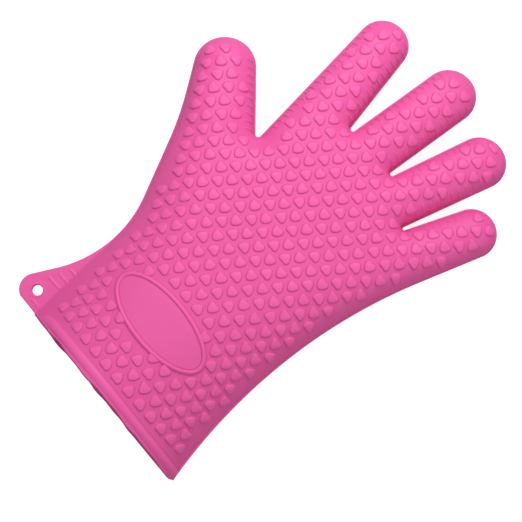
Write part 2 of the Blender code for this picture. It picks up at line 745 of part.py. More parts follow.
main()
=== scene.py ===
"""Moulded silicone gauntlet glove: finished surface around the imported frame.

The skin is drawn in moulding millimetres: parting plane z = 0, +X from the thumb to the
little finger, +Y from the mouth to the fingertips, +Z the badge side. The frame's wrist
joint and tab mount place it. It is one continuous skin, divided between the bending zones.
"""
import json
import math

import bpy
import numpy as np
from mathutils import Matrix, Vector
from mathutils.geometry import delaunay_2d_cdt
from mathutils.kdtree import KDTree


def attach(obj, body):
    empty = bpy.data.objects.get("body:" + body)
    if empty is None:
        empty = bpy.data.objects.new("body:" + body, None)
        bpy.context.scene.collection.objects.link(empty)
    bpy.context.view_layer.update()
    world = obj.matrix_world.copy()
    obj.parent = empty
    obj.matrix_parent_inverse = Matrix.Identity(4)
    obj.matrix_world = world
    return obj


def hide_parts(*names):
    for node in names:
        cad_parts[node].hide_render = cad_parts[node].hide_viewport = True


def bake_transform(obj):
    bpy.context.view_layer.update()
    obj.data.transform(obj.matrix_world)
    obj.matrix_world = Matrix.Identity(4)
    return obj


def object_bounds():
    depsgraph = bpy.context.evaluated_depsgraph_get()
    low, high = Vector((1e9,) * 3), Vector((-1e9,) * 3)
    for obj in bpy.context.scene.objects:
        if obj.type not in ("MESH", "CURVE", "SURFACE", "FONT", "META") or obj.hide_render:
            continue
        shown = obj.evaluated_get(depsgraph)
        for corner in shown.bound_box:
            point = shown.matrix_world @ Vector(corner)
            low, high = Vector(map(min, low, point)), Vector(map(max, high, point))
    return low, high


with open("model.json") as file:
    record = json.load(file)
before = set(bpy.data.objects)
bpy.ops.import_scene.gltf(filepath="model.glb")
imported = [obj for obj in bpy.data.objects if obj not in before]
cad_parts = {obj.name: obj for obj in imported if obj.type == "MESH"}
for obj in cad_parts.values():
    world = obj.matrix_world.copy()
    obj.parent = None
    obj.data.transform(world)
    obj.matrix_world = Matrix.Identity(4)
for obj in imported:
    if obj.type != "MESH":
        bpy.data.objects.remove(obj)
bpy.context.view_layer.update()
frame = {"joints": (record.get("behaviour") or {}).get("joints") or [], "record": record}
JOINTS = {joint["name"]: joint for joint in frame["joints"]}
MOUNTS = {mount["name"]: mount for mount in frame["record"]["mounts"]}

# ---------------------------------------------------------------- dimensions (mm, degrees)
WALL = 1.8
RIM_Y, RIM_SLANT = -120.4, 7.0
BEAD_Y = -115.2

# Fingers: tip circle (x, y, radius), lean from +Y towards +X, then for each joint the
# distances back from the tip centre: seam, start and end of the bending zone.
FINGERS = {
    "index": ((-53.6, 141.7, 16.0), -9.9, ((51.5, 51.0, 35.0), (34.0, 33.0, 14.0), (13.0, 12.0, 0.0))),
    "middle": ((-3.9, 151.7, 16.6), 3.9, ((56.0, 55.5, 39.0), (38.0, 37.0, 17.0), (15.5, 14.0, 1.0))),
    "ring": ((38.8, 138.6, 15.9), 14.5, ((49.5, 49.0, 33.5), (32.8, 32.0, 14.0), (13.0, 12.0, 0.0))),
    "little": ((67.7, 106.4, 14.9), 17.9, ((35.5, 35.0, 22.0), (21.5, 21.0, 7.0), (6.2, 5.5, -3.5))),
}
THUMB_TIP, THUMB_LEAN = (-104.3, 59.3, 19.0), -42.0
THUMB_CROTCH, THUMB_BASE_LEAN = (-59.5, 48.0), -57.0
THUMB_TIP_SEAM, THUMB_TIP_ZONE = 17.5, (16.5, 0.0)         # back from the tip centre
THUMB_BASE_SEAM, THUMB_BASE_ZONE = (0.8, 25), (28, 1.2, 21.2)
WRIST_X, WRIST_JOINT_Y = -6.0, -32.0
WRIST_SEAMS_Y, WRIST_ZONE_Y = (-13.0, -51.0), (-14.0, -50.0)

# Plan outline: a belt round these circles (x, y, radius, side). Side 1 bulges outward,
# -1 is hollow. It runs from the mouth round the thumb and fingers and back.
WAIST = (-138.5, -61.6, 72.7, -1)
BELT = [
    (-42.0, -200.0, 12.0, 1), WAIST, (-268.8, -86.5, 200.0, -1), (*THUMB_TIP, 1),
    (*THUMB_CROTCH, 1.7, -1), (*FINGERS["index"][0], 1), (-25.6, 93.6, 1.4, -1),
    (*FINGERS["middle"][0], 1), (10.2, 93.7, 1.2, -1), (*FINGERS["ring"][0], 1),
    (39.6, 77.3, 0.9, -1), (*FINGERS["little"][0], 1), (383.9, -37.4, 330.0, -1),
    (72.9, -198.3, 12.0, 1)]

# Stations along y: (y, value)
HALF_THICKNESS = [(-160, 38.0), (-122, 34.0), (-90, 30.0), (-60, 26.5), (-30, 23.0),
                  (0, 19.5), (30, 16.5), (60, 14.2), (90, 12.3), (120, 11.6), (175, 11.4)]
EDGE_WIDTH = [(-160, 62.0), (-122, 61.0), (-90, 57.0), (-60, 50.0), (-30, 40.0),
              (0, 32.0), (30, 26.0), (60, 19.0), (90, 16.0), (120, 15.0), (175, 15.0)]
EDGE_POWER = [(-160, 0.85), (-122, 0.82), (-60, 0.74), (0, 0.62), (60, 0.52), (175, 0.5)]
THUMB_EDGE_WIDTH = 18.2
THUMB_SIDE, THUMB_FADE, THUMB_LIMIT_X = (-0.8, 0.6), 20.0, -59   # where the thumb width takes over

# Flange on the parting line, all round the plan outline.
FLANGE, FLANGE_HIGH, FLANGE_ROUND = 0.95, 0.55, 0.45

# Hanging tab: corner and hole circles (x, y, radius)
TAB_CORNER, TAB_HOLE, TAB_EDGE_Y = (-71.7, -111.3, 9.3), (-70.1, -110.7, 3.0), -120.3
BADGE_CENTRE, BADGE_HALF = (-7.5, -67.7), (35.2, 15.6)

HEART_HALF_PITCH = 4.94
HEART_RELIEF, HEART_WALL = 0.92, 0.80
RIB_HALF, RIB_HIGH = 0.95, 0.62

# ---------------------------------------------------------------- placing
tab_axis = MOUNTS["hang_tab_face"]["axis"]
TURN = Matrix.Rotation(-math.atan2(tab_axis[1], tab_axis[2]), 4, "X")
SHIFT = np.array(Vector(JOINTS["wrist_bend"]["pos_m"])
                 - (TURN @ Vector((WRIST_X, WRIST_JOINT_Y, 0.0))) * 0.001)
TURN = np.array(TURN.to_3x3())
SLANT = math.tan(math.radians(RIM_SLANT))


def to_frame(points):
    """Moulding millimetres to the frame's metres."""
    return np.atleast_2d(points) @ TURN.T * 0.001 + SHIFT


# ---------------------------------------------------------------- plan geometry
def soft_step(t):
    t = np.clip(t, 0, 1)
    return t * t * (3 - 2 * t)


def quarter_round(t):
    """Quarter circle rising from 0 at t = 0 to 1 at t = 1."""
    return np.sqrt(np.clip(1 - (1 - np.clip(t, 0, 1)) ** 2, 0, 1))


def direction(lean):
    angle = math.radians(lean)
    return np.array((math.sin(angle), math.cos(angle)))


def across(along):
    return np.array((along[1], -along[0]))


def back_from(tip, lean, distance):
    """Point on a digit's axis, measured back from the centre of its tip circle."""
    return np.array(tip[:2]) - distance * direction(lean)


def tangent(one, two):
    """Touch points of the belt's straight run between two circles."""
    x1, y1, radius1, side1 = one
    x2, y2, radius2, side2 = two
    span = math.hypot(x2 - x1, y2 - y1)
    turn = (math.atan2(y2 - y1, x2 - x1)
            + math.asin((side2 * radius2 - side1 * radius1) / span))
    nx, ny = -math.sin(turn), math.cos(turn)
    return ((x1 + side1 * radius1 * nx, y1 + side1 * radius1 * ny),
            (x2 + side2 * radius2 * nx, y2 + side2 * radius2 * ny))


def belt_points(step, inset=0.0):
    """Points along the belt, moved inward by inset; the same count at any inset."""
    total = len(BELT)
    moved = [(x, y, max(0.4, radius - side * inset), side) for x, y, radius, side in BELT]
    runs = [tangent(moved[i], moved[(i + 1) % total]) for i in range(total)]
    points = []
    for i, (x, y, radius, side) in enumerate(moved):
        arrive, (leave, land) = runs[i - 1][1], runs[i]
        first = math.atan2(arrive[1] - y, arrive[0] - x)
        sweep = (math.atan2(leave[1] - y, leave[0] - x) - first) % (2 * math.pi)
        if side > 0:
            sweep -= 2 * math.pi
        count = max(6, int(math.ceil(abs(sweep) * BELT[i][2] / step)))
        for j in range(count + 1):
            angle = first + sweep * j / count
            points.append((x + radius * math.cos(angle), y + radius * math.sin(angle)))
        start, end = tangent(BELT[i], BELT[(i + 1) % total])
        count = max(1, int(math.hypot(end[0] - start[0], end[1] - start[1]) // step))
        for j in range(1, count):
            points.append((leave[0] + (land[0] - leave[0]) * j / count,
                           leave[1] + (land[1] - leave[1]) * j / count))
    return np.array(points)


OUTLINE = belt_points(1.4)
OUTLINE = OUTLINE[np.hypot(*(OUTLINE - np.roll(OUTLINE, 1, axis=0)).T) > 1e-6]


def segment_distance(points, starts, steps):
    """Distance from each point to the nearest of the segments."""
    from_x = points[:, 0, None] - starts[:, 0]
    from_y = points[:, 1, None] - starts[:, 1]
    length_sq = np.maximum((steps * steps).sum(1), 1e-12)
    t = np.clip((from_x * steps[:, 0] + from_y * steps[:, 1]) / length_sq, 0, 1)
    return np.sqrt(((from_x - t * steps[:, 0]) ** 2 + (from_y - t * steps[:, 1]) ** 2).min(1))


def loop_distance(points, loop, block=2000):
    """Distance inward from a closed loop; negative outside. Worked in blocks."""
    points = np.atleast_2d(np.asarray(points, float))
    ends = np.roll(loop, -1, axis=0)
    steps = ends - loop
    rise = np.where(np.abs(steps[:, 1]) < 1e-12, 1e-12, steps[:, 1])
    result = np.empty(len(points))
    for low in range(0, len(points), block):
        part = points[low:low + block]
        x, y = part[:, 0, None], part[:, 1, None]
        near = segment_distance(part, loop, steps)
        crossing = (loop[:, 1] > y) != (ends[:, 1] > y)
        hits = crossing & (x < loop[:, 0] + (y - loop[:, 1]) / rise * steps[:, 0])
        result[low:low + block] = np.where(hits.sum(1) % 2 == 1, near, -near)
    return result


def edge_distance(points):
    """Distance inward from the plan outline; negative outside."""
    return loop_distance(points, OUTLINE)


def resample(loop, count):
    """Evenly spaced points round a closed loop."""
    closed = np.vstack([loop, loop[:1]])
    run = np.r_[0, np.cumsum(np.hypot(*np.diff(closed, axis=0).T))]
    at = np.linspace(0, run[-1], count, endpoint=False)
    return np.c_[np.interp(at, run, closed[:, 0]), np.interp(at, run, closed[:, 1])]


def curve_at(stations, y):
    """Smooth curve through the stations, without overshoot, held at its ends."""
    knots = np.array(stations, float)
    y = np.clip(y, knots[0, 0], knots[-1, 0])
    gaps = np.diff(knots[:, 0])
    rates = np.diff(knots[:, 1]) / gaps
    after, before = rates[1:], rates[:-1]
    inner = np.where(after * before > 0, 2 * after * before / (after + before + 1e-12), 0.0)
    slopes = np.concatenate([[rates[0]], inner, [rates[-1]]])
    i = np.clip(np.searchsorted(knots[:, 0], y) - 1, 0, len(gaps) - 1)
    t = (y - knots[i, 0]) / gaps[i]
    return ((1 + 2 * t) * (1 - t) ** 2 * knots[i, 1] + t * (1 - t) ** 2 * gaps[i] * slopes[i]
            + t * t * (3 - 2 * t) * knots[i + 1, 1] + t * t * (t - 1) * gaps[i] * slopes[i + 1])


# ---------------------------------------------------------------- skin height
def body_height(points, inward=None):
    """Height of the skin above the parting plane, without flange or relief."""
    points = np.atleast_2d(np.asarray(points, float))
    x, y = points[:, 0], points[:, 1]
    inward = edge_distance(points) if inward is None else inward
    past_crotch = (x - THUMB_CROTCH[0]) * THUMB_SIDE[0] + (y - THUMB_CROTCH[1]) * THUMB_SIDE[1]
    thumb = soft_step(past_crotch / THUMB_FADE) * (x < THUMB_LIMIT_X)
    wide = curve_at(EDGE_WIDTH, y) * (1 - thumb) + THUMB_EDGE_WIDTH * thumb
    rise = np.clip((inward - FLANGE) / (wide - FLANGE), 0, 1)
    return curve_at(HALF_THICKNESS, y) * (1 - (1 - rise) ** 2) ** curve_at(EDGE_POWER, y)


TAB_TOP = tangent(BELT[0], WAIST)[1]
TAB_FADE_Y = TAB_TOP[1] - 3.0


def tab_root(points, inward):
    """Tab surface running up onto the tube wall with a soft inside corner."""
    below = TAB_FADE_Y - points[:, 1]
    plate = FLANGE_HIGH + 0.05 + 0.9 * soft_step(below / 20.0)    # thins to the flange at the top
    wall = np.where(inward > 0, body_height(points, np.maximum(inward, 0)), 2.0 * inward)
    blend = 0.05 + 2.6 * soft_step(below / 16.0)
    return (plate + wall + np.sqrt((plate - wall) ** 2 + blend * blend)) / 2


def skin_height(points, inward):
    """Body with the parting-line flange and the root of the tab."""
    edge = quarter_round(inward / FLANGE_ROUND)
    height = np.maximum(body_height(points, inward), FLANGE_HIGH * edge)
    at_tab = (points[:, 0] < -30) & (points[:, 1] < TAB_TOP[1]) & (inward < 12)
    if at_tab.any():
        near, depth = points[at_tab], inward[at_tab]
        fade = 1 - soft_step((depth - 6.0) / 6.0)
        rooted = body_height(near, depth) * (1 - fade) + tab_root(near, depth) * fade
        height[at_tab] = np.maximum(height[at_tab], edge[at_tab] * rooted)
    return height


# ---------------------------------------------------------------- heart lattice
# Right half of one heart's top edge, (x, y), from its point (+y) to the notch at its back.
HEART_HALF = [(0.0, 2.75), (0.75, 2.48), (1.50, 1.80), (2.18, 0.85), (2.70, -0.22),
              (2.97, -1.28), (2.78, -2.12), (2.12, -2.62), (1.20, -2.70), (0.0, -2.50)]


def heart_outline(count):
    """Evenly spaced points on a Catmull-Rom curve round the heart."""
    knots = np.array(HEART_HALF + [(-x, y) for x, y in HEART_HALF[-2:0:-1]])
    total = len(knots)
    curve = []
    for i in range(total):
        p0, p1, p2, p3 = knots[i - 1], knots[i], knots[(i + 1) % total], knots[(i + 2) % total]
        for t in np.linspace(0, 1, 12, endpoint=False):
            curve.append(0.5 * (2 * p1 + (p2 - p0) * t + (2 * p0 - 5 * p1 + 4 * p2 - p3) * t * t
                                + (3 * p1 - p0 - 3 * p2 + p3) * t ** 3))
    return resample(np.array(curve), count)


HEART = heart_outline(40)       # for distances
HEART_RING = heart_outline(26)  # for mesh points
ring_step = np.roll(HEART_RING, -1, axis=0) - np.roll(HEART_RING, 1, axis=0)
RING_OUT = np.c_[-ring_step[:, 1], ring_step[:, 0]] / np.linalg.norm(ring_step, axis=1)[:, None]
if (RING_OUT * HEART_RING).sum() < 0:
    RING_OUT = -RING_OUT


def heart_profile(outside):
    """Relief against distance outside the top edge: flat top, soft shoulder, steep wall."""
    wall = 1 - soft_step((outside + 0.12) / (HEART_WALL + 0.12))
    crown = 1 + 0.38 * soft_step(-outside / 2.5)
    return HEART_RELIEF * wall * crown


def body_slope(points, step):
    """Change of height per millimetre along the given plan step."""
    step = np.array(step)
    return (body_height(points + step) - body_height(points - step)) / (2 * step.max())


def lattice():
    """Rows (x, y, way, stretch across, stretch along); way +1 points to the fingertips."""
    found = []
    xs = np.linspace(-130, 110, 1201)
    for row in range(-18, 21):
        # row spacing, opening slightly towards the mouth
        if row >= 0:
            y = 23.6 + 6.94 * row
        else:
            y = 23.7 + 6.965 * row - 0.14 * max(0, -row - 5)
        up = row % 2 == 0
        cuff = float(soft_step(-y / 100.0))
        y += (0.15 - 0.5 * cuff) if up else (-0.95 + 0.15 * cuff)
        # x of the middle column, drifting along the hand
        column = (-7.2 - 0.011 * max(0.0, y - 20) + 3.4 * (max(0.0, -y) / 104.0) ** 1.2
                  + 1.3 - 1.1 * cuff)
        pitch = HEART_HALF_PITCH - 0.2 * float(soft_step((-y - 20) / 85.0))
        # columns are spaced over the surface on the palm and in plan on the fingers
        plan = float(soft_step((y - 30.0) / 15.0))
        line = np.c_[xs, np.full(len(xs), y)]
        inward = edge_distance(line)
        z = np.where(inward > 0, body_height(line, np.maximum(inward, 0)), 0)
        arc = np.r_[0, np.cumsum(np.hypot(np.diff(xs), np.diff(z) * (1 - plan)))]
        arc -= np.interp(column, xs, arc)
        tilt = 0.012 if y < 50 else 0.012 - 0.034 * min(1.0, (y - 50) / 90.0)
        for place in range(-24, 26):
            if (place - row) % 2:
                continue
            x = float(np.interp((place - 3) * pitch, arc, xs))
            lean = tilt * (x + 5) if (y > 50 or (x < -5 and y > 0)) else 0.0
            found.append((x + 0.5, y + lean, 1 if up else -1))
    hearts = np.array(found)
    hearts = hearts[edge_distance(hearts[:, :2]) > 4.5]
    inward = edge_distance(hearts[:, :2])
    # partly undo the shortening of the plan on sloping skin
    slope_x = body_slope(hearts[:, :2], (0.8, 0))
    slope_y = body_slope(hearts[:, :2], (0, 0.8))
    hearts = np.c_[hearts, (1 + slope_x ** 2) ** 0.35, (1 + slope_y ** 2) ** 0.35]
    x, y = hearts[:, 0], hearts[:, 1]
    # the field ends this far in from the outline: fingers, thumb, thumb side, little finger side
    need = np.where(y > 60, 5.8, 8.0)
    need = np.where((x < -66) & (y > 10), 7.2, need)
    need = np.where((x < -35) & (y < 10), 9.0, need)
    need = np.where((x > 30) & (y < 62), 6.3, need)
    return hearts[(inward > need) & ~((x < -85) & (y > 66.5))]


HEARTS = lattice()
HEART_CELL, HEART_REACH = 8, 4.6


def heart_relief(points, hearts):
    """Height of the hearts at each point, looking only at hearts in neighbouring cells."""
    result = np.zeros(len(points))
    cells = {}
    for i, heart in enumerate(hearts):
        key = (int(heart[0] // HEART_CELL), int(heart[1] // HEART_CELL))
        cells.setdefault(key, []).append(i)
    keys = np.floor(points / HEART_CELL).astype(int)
    order = np.lexsort((keys[:, 1], keys[:, 0]))
    breaks = np.nonzero(np.any(np.diff(keys[order], axis=0) != 0, axis=1))[0] + 1
    point_hits, heart_hits = [], []
    for block in np.split(order, breaks):
        cell_x, cell_y = keys[block[0]]
        near = [i for dx in (-1, 0, 1) for dy in (-1, 0, 1)
                for i in cells.get((cell_x + dx, cell_y + dy), [])]
        for i in near:
            hit = np.abs(points[block] - hearts[i][:2]).max(1) < HEART_REACH
            if hit.any():
                point_hits.append(block[hit])
                heart_hits.append(np.full(int(hit.sum()), i))
    hit_points = np.concatenate(point_hits)
    x, y, way, stretch_x, stretch_y = hearts[np.concatenate(heart_hits)].T
    local = np.c_[(points[hit_points, 0] - x) * stretch_x * way,
                  (points[hit_points, 1] - y) * stretch_y * way]
    np.maximum.at(result, hit_points, heart_profile(-loop_distance(local, HEART)))
    return result


# ---------------------------------------------------------------- side ribs
RIB_PITCH, RIB_LENGTH, INDEX_ROOT_RIB_LENGTH = 4.7, 5.6, 5.2
RIB_EDGE_GAP = 1.25
# How far the ribs run back from each tip centre
RIB_RUN = {"index": 50, "middle": 55, "ring": 50, "little": 30}


def side_ribs():
    """Raised ribs between the heart field and the flange: (inner x, y, outer x, y)."""
    ribs = []

    def add(tip, lean, back, sign, length):
        way = across(direction(lean)) * sign
        line = back_from(tip, lean, back) + np.arange(0, 34, 0.1)[:, None] * way
        close = edge_distance(line) < RIB_EDGE_GAP
        if close.any():
            stop = int(np.argmax(close))
            start = max(0, stop - int(length / 0.1))
            ribs.append((*line[start], *line[stop]))

    for name, (tip, lean, _) in FINGERS.items():
        for back in np.arange(-6.5, RIB_RUN[name], RIB_PITCH):
            for sign in (-1, 1):
                if name == "little" and sign > 0:
                    continue
                add(tip, lean, back, sign, RIB_LENGTH)
    for back in np.arange(50, 84, RIB_PITCH):
        add(*FINGERS["index"][:2], back, -1, INDEX_ROOT_RIB_LENGTH)
    for back in np.arange(-4, 40, RIB_PITCH):
        add(THUMB_TIP, THUMB_LEAN, back, 1, RIB_LENGTH)
    return np.array(ribs)


RIBS = side_ribs()


def rib_relief(points):
    result = np.zeros(len(points))
    for x0, y0, x1, y1 in RIBS:
        near = np.nonzero((np.abs(points[:, 0] - (x0 + x1) / 2) < 6)
                          & (np.abs(points[:, 1] - (y0 + y1) / 2) < 6))[0]
        if not len(near):
            continue
        start, step = np.array((x0, y0)), np.array((x1 - x0, y1 - y0))
        length = math.hypot(*step)
        offset = points[near] - start
        t = offset @ step / length
        aside = np.abs(offset[:, 0] * step[1] - offset[:, 1] * step[0]) / length
        shape = np.cos(np.clip(aside / RIB_HALF, 0, 1) * math.pi / 2) ** 2
        ends = soft_step((t + 0.3) / 1.8) * soft_step((length + 0.15 - t) / 0.9)
        result[near] = np.maximum(result[near], RIB_HIGH * shape * ends)
    return result


# ---------------------------------------------------------------- seams
def seam(name, point, along):
    """(name, point, normal away from the palm, left reach, right reach to the outline)."""
    steps = np.arange(0, 90, 0.05)
    ends = []
    for sign in (-1, 1):
        outside = edge_distance(point + sign * steps[:, None] * across(along)) < 0.0
        ends.append(float(steps[int(np.argmax(outside))]) * sign)
    return name, point, along, *ends


thumb_along = direction(THUMB_BASE_LEAN)
seam_ahead, seam_left = THUMB_BASE_SEAM
SEAMS = [seam(f"{name}_{i}", back_from(tip, lean, back), direction(lean))
         for name, (tip, lean, zones) in FINGERS.items() for i, (back, _, _) in enumerate(zones)]
SEAMS += [
    seam("thumb_0", np.array(THUMB_CROTCH) + seam_ahead * thumb_along
         - seam_left * across(thumb_along), thumb_along),
    seam("thumb_1", back_from(THUMB_TIP, THUMB_LEAN, THUMB_TIP_SEAM), direction(THUMB_LEAN))]
SEAMS += [seam(f"wrist_{i}", np.array((WRIST_X, y)), np.array((0.0, -1.0)))
          for i, y in enumerate(WRIST_SEAMS_Y)]


def region(points):
    """Name of the piece each plan point belongs to."""
    result = np.full(len(points), "palm", dtype=object)
    for name, point, along, left, right in SEAMS:
        past = (points - point) @ along > 0
        lateral = (points - point) @ across(along)
        if name.startswith("wrist"):
            chosen = past
        elif name == "thumb_0":
            chosen = past & (lateral > left - 3) & (points[:, 0] < -55) & (points[:, 1] > -5)
            web = direction((THUMB_LEAN + FINGERS["index"][1]) / 2)
            offset = points - np.array(THUMB_CROTCH)
            # the thumb's side of the web only
            chosen &= web[0] * offset[:, 1] - web[1] * offset[:, 0] > 0
        elif name == "thumb_1":
            chosen = past & (np.abs(lateral) < 24)
        else:
            digit, number = name.split("_")
            chosen = past & (lateral > left - 2.5) & (lateral < right + 2.5)
            chosen |= past & (result == f"{digit}_{int(number) - 1}")
        result[chosen] = name
    return result


def seam_lines(step, inset):
    """Points along every seam, closer together towards its ends."""
    lines = []
    for _, point, along, left, right in SEAMS:
        start, end = left + inset, right - inset
        count = max(4, int((end - start) / step))
        t = ((1 - np.cos(np.linspace(0, math.pi, count + 1))) / 2 * 0.35
             + np.linspace(0, 1, count + 1) * 0.65)
        lines.append(point + (start + (end - start) * t)[:, None] * across(along))
    return lines


# ---------------------------------------------------------------- meshing tools
def plan_mesh(points, edges):
    """Plan triangles facing +Z with the given edges kept: vertices, faces, signed areas."""
    verts, _, faces, _, _, _ = delaunay_2d_cdt(
        [Vector(point) for point in points.tolist()], edges, [], 1, 1e-4)
    verts = np.array([vert[:] for vert in verts])
    faces = np.array([face for face in faces if len(face) == 3], int)
    a, b, c = verts[faces[:, 0]], verts[faces[:, 1]], verts[faces[:, 2]]
    area = (b[:, 0] - a[:, 0]) * (c[:, 1] - a[:, 1]) - (b[:, 1] - a[:, 1]) * (c[:, 0] - a[:, 0])
    faces[area < 0] = faces[area < 0][:, ::-1]
    return verts, faces, area


def loop_edges(count, first=0):
    return [(first + i, first + (i + 1) % count) for i in range(count)]


def triangulate(points, loop, lines):
    """Plan triangles inside the loop, with every line kept as edges."""
    edges = loop_edges(len(loop))
    total = len(loop)
    for line in lines:
        edges += [(total + i, total + i + 1) for i in range(len(line) - 1)]
        total += len(line)
    verts, faces, area = plan_mesh(np.vstack([loop, *lines, points]), edges)
    return verts, faces[np.abs(area) > 1e-9]


def vertex_normals(verts, faces):
    face_normals = np.cross(verts[faces[:, 1]] - verts[faces[:, 0]],
                            verts[faces[:, 2]] - verts[faces[:, 0]])
    result = np.zeros_like(verts)
    for i in range(3):
        np.add.at(result, faces[:, i], face_normals)
    return result / np.maximum(np.linalg.norm(result, axis=1), 1e-12)[:, None]


def farther_than(gap, points, others):
    """Points farther than gap from every one of the others."""
    tree = KDTree(len(others))
    for i, other in enumerate(others):
        tree.insert((other[0], other[1], 0), i)
    tree.balance()
    return points[[tree.find((point[0], point[1], 0))[2] > gap for point in points]]


def clear_of(points, lines, gap):
    """Points kept only where they are clear of every straight line."""
    keep = np.ones(len(points), bool)
    for line in lines:
        step = line[-1] - line[0]
        length = math.hypot(*step)
        offset = points - line[0]
        t = offset @ step / length
        aside = np.abs(offset[:, 0] * step[1] - offset[:, 1] * step[0]) / length
        keep &= ~((aside < gap) & (t > -0.5) & (t < length + 0.5))
    return points[keep]


def staggered(xs, ys, shift):
    return np.array([(x + (shift if j % 2 else 0), y) for j, y in enumerate(ys) for x in xs])


def hand_grid(step, inset):
    """Triangular grid over the hand, at least inset from the outline."""
    grid = staggered(np.arange(-128, 92, step), np.arange(-128, 172, step * 0.866), step / 2)
    return grid[edge_distance(grid) > inset]


def grid_triangles(grid, closed):
    """Triangles over a grid of vertex numbers (rows, columns), columns closed if asked."""
    faces = []
    rows, columns = grid.shape
    for i in range(rows - 1):
        for j in range(columns if closed else columns - 1):
            k = (j + 1) % columns
            a, b, c, d = grid[i, j], grid[i, k], grid[i + 1, k], grid[i + 1, j]
            faces += [(a, b, c), (a, c, d)]
    return np.array(faces)


def outward(verts, faces):
    """Faces turned so that the closed mesh faces out."""
    a, b, c = verts[faces[:, 0]], verts[faces[:, 1]], verts[faces[:, 2]]
    return faces if (a * np.cross(b, c)).sum() > 0 else faces[:, ::-1]


def merge_sides(parts):
    """Joins both sides, sharing flat vertices; a row is x, y, z and any carried values."""
    rows, faces, shared = [], [], {}
    for part_rows, triangles, flat, up in parts:
        index = np.empty(len(part_rows), int)
        for i, row in enumerate(part_rows):
            index[i] = len(rows)
            if flat[i]:
                index[i] = shared.setdefault((round(row[0], 3), round(row[1], 3)), len(rows))
            if index[i] == len(rows):
                rows.append(row)
        faces.append(index[triangles] if up else index[triangles][:, ::-1])
    return np.array(rows), np.vstack(faces)


# ---------------------------------------------------------------- mouth edge
line_x = np.arange(-75.0, 80.0, 0.02)
line_x = line_x[edge_distance(np.c_[line_x, np.full(len(line_x), RIM_Y)]) > 0]
MOUTH_L, MOUTH_R = float(line_x[0]), float(line_x[-1])
MOUTH_CORNER = 1.5      # rounding of the mouth corner away from the tab
MOUTH_STEPS = 150
mouth_cosine = (1 - np.cos(np.linspace(0, math.pi, MOUTH_STEPS + 1))) / 2
MOUTH_X = MOUTH_L + (MOUTH_R - MOUTH_L) * (0.45 * mouth_cosine
                                           + 0.55 * np.linspace(0, 1, MOUTH_STEPS + 1))


def wave(x):
    """Slight unevenness of the trimmed mouth."""
    ends = soft_step((x + 60) / 12) * soft_step((62 - x) / 12)
    return ends * (0.32 * np.sin(x / 6.1 + 0.6) + 0.2 * np.sin(x / 2.7 + 2.0)
                   + 0.25 * np.sin(x / 15.0))


def mouth_line(xs, side):
    """Plan y of the slanted mouth on one side."""
    y = np.full(len(xs), RIM_Y)
    uneven = wave(xs + (0 if side > 0 else 31))
    for _ in range(8):
        points = np.c_[xs, y]
        inward = np.maximum(edge_distance(points), 0)
        y = RIM_Y + side * SLANT * body_height(points, inward) + uneven
    y[0] = RIM_Y
    y += MOUTH_CORNER * soft_step((xs - (MOUTH_R - 3.5)) / 3.5) ** 2
    y[-1] = RIM_Y + MOUTH_CORNER
    return y


def above_mouth(points, margin):
    return points[points[:, 1] > RIM_Y + np.where(points[:, 0] > 0, margin + MOUTH_CORNER, margin)]


def outline_loop(inset, step):
    """Belt above the mouth, starting at the mouth's left end."""
    loop = belt_points(step, inset=inset)
    loop = loop[np.r_[True, np.hypot(*np.diff(loop, axis=0).T) > 0.05]]
    loop = above_mouth(loop, 0.35)
    start = int(np.argmin(np.hypot(loop[:, 0] - MOUTH_L, loop[:, 1] - RIM_Y)))
    return np.roll(loop, -start, axis=0)


# ---------------------------------------------------------------- outer skin
EDGE_INSETS = (0.10, 0.28, 0.55, 0.85, 0.965, 1.03, 1.16, 1.42, 1.85, 2.45, 3.2, 4.1)
HEART_OFFSETS = (0.86, 0.66, 0.46, 0.26, 0.06, -0.22, -1.0)
HEART_CORE = np.array([(0, 0.6), (0.7, -0.7), (-0.7, -0.7)])
RIB_OFFSETS = (-1.0, -0.66, -0.33, 0, 0.33, 0.66, 1.0)


def plan_points(hearts):
    """Plan points along the edge, round the hearts, on the ribs and between them."""
    rows = []
    for inset in EDGE_INSETS:
        row = belt_points(0.9, inset=inset)
        rows.append(row[np.abs(edge_distance(row) - inset) < 0.03 + 0.02 * inset])
    for x, y, way, stretch_x, stretch_y in hearts:
        for offset in HEART_OFFSETS:
            ring = HEART_RING + RING_OUT * offset
            if offset == HEART_OFFSETS[-1]:
                ring = ring[::2]
            rows.append(np.c_[x + ring[:, 0] / stretch_x * way, y + ring[:, 1] / stretch_y * way])
        rows.append(np.c_[x + HEART_CORE[:, 0] / stretch_x,
                          y + HEART_CORE[:, 1] / stretch_y * way])
    rings = np.vstack(rows)
    ribs = []
    for rib in RIBS:
        start, step = rib[:2], rib[2:] - rib[:2]
        length = math.hypot(*step)
        aside = np.array((step[1], -step[0])) / length
        for offset in RIB_OFFSETS:
            for t in np.arange(-0.4, length - 0.9, 0.75):
                ribs.append(start + step * t / length + aside * offset * RIB_HALF)
    ribs = np.array(ribs)
    ribs = farther_than(0.22, ribs[edge_distance(ribs) > 1.9], rings)
    points = np.vstack([rings, ribs])
    return np.vstack([points, farther_than(0.75, hand_grid(1.55, 4.6), points)])


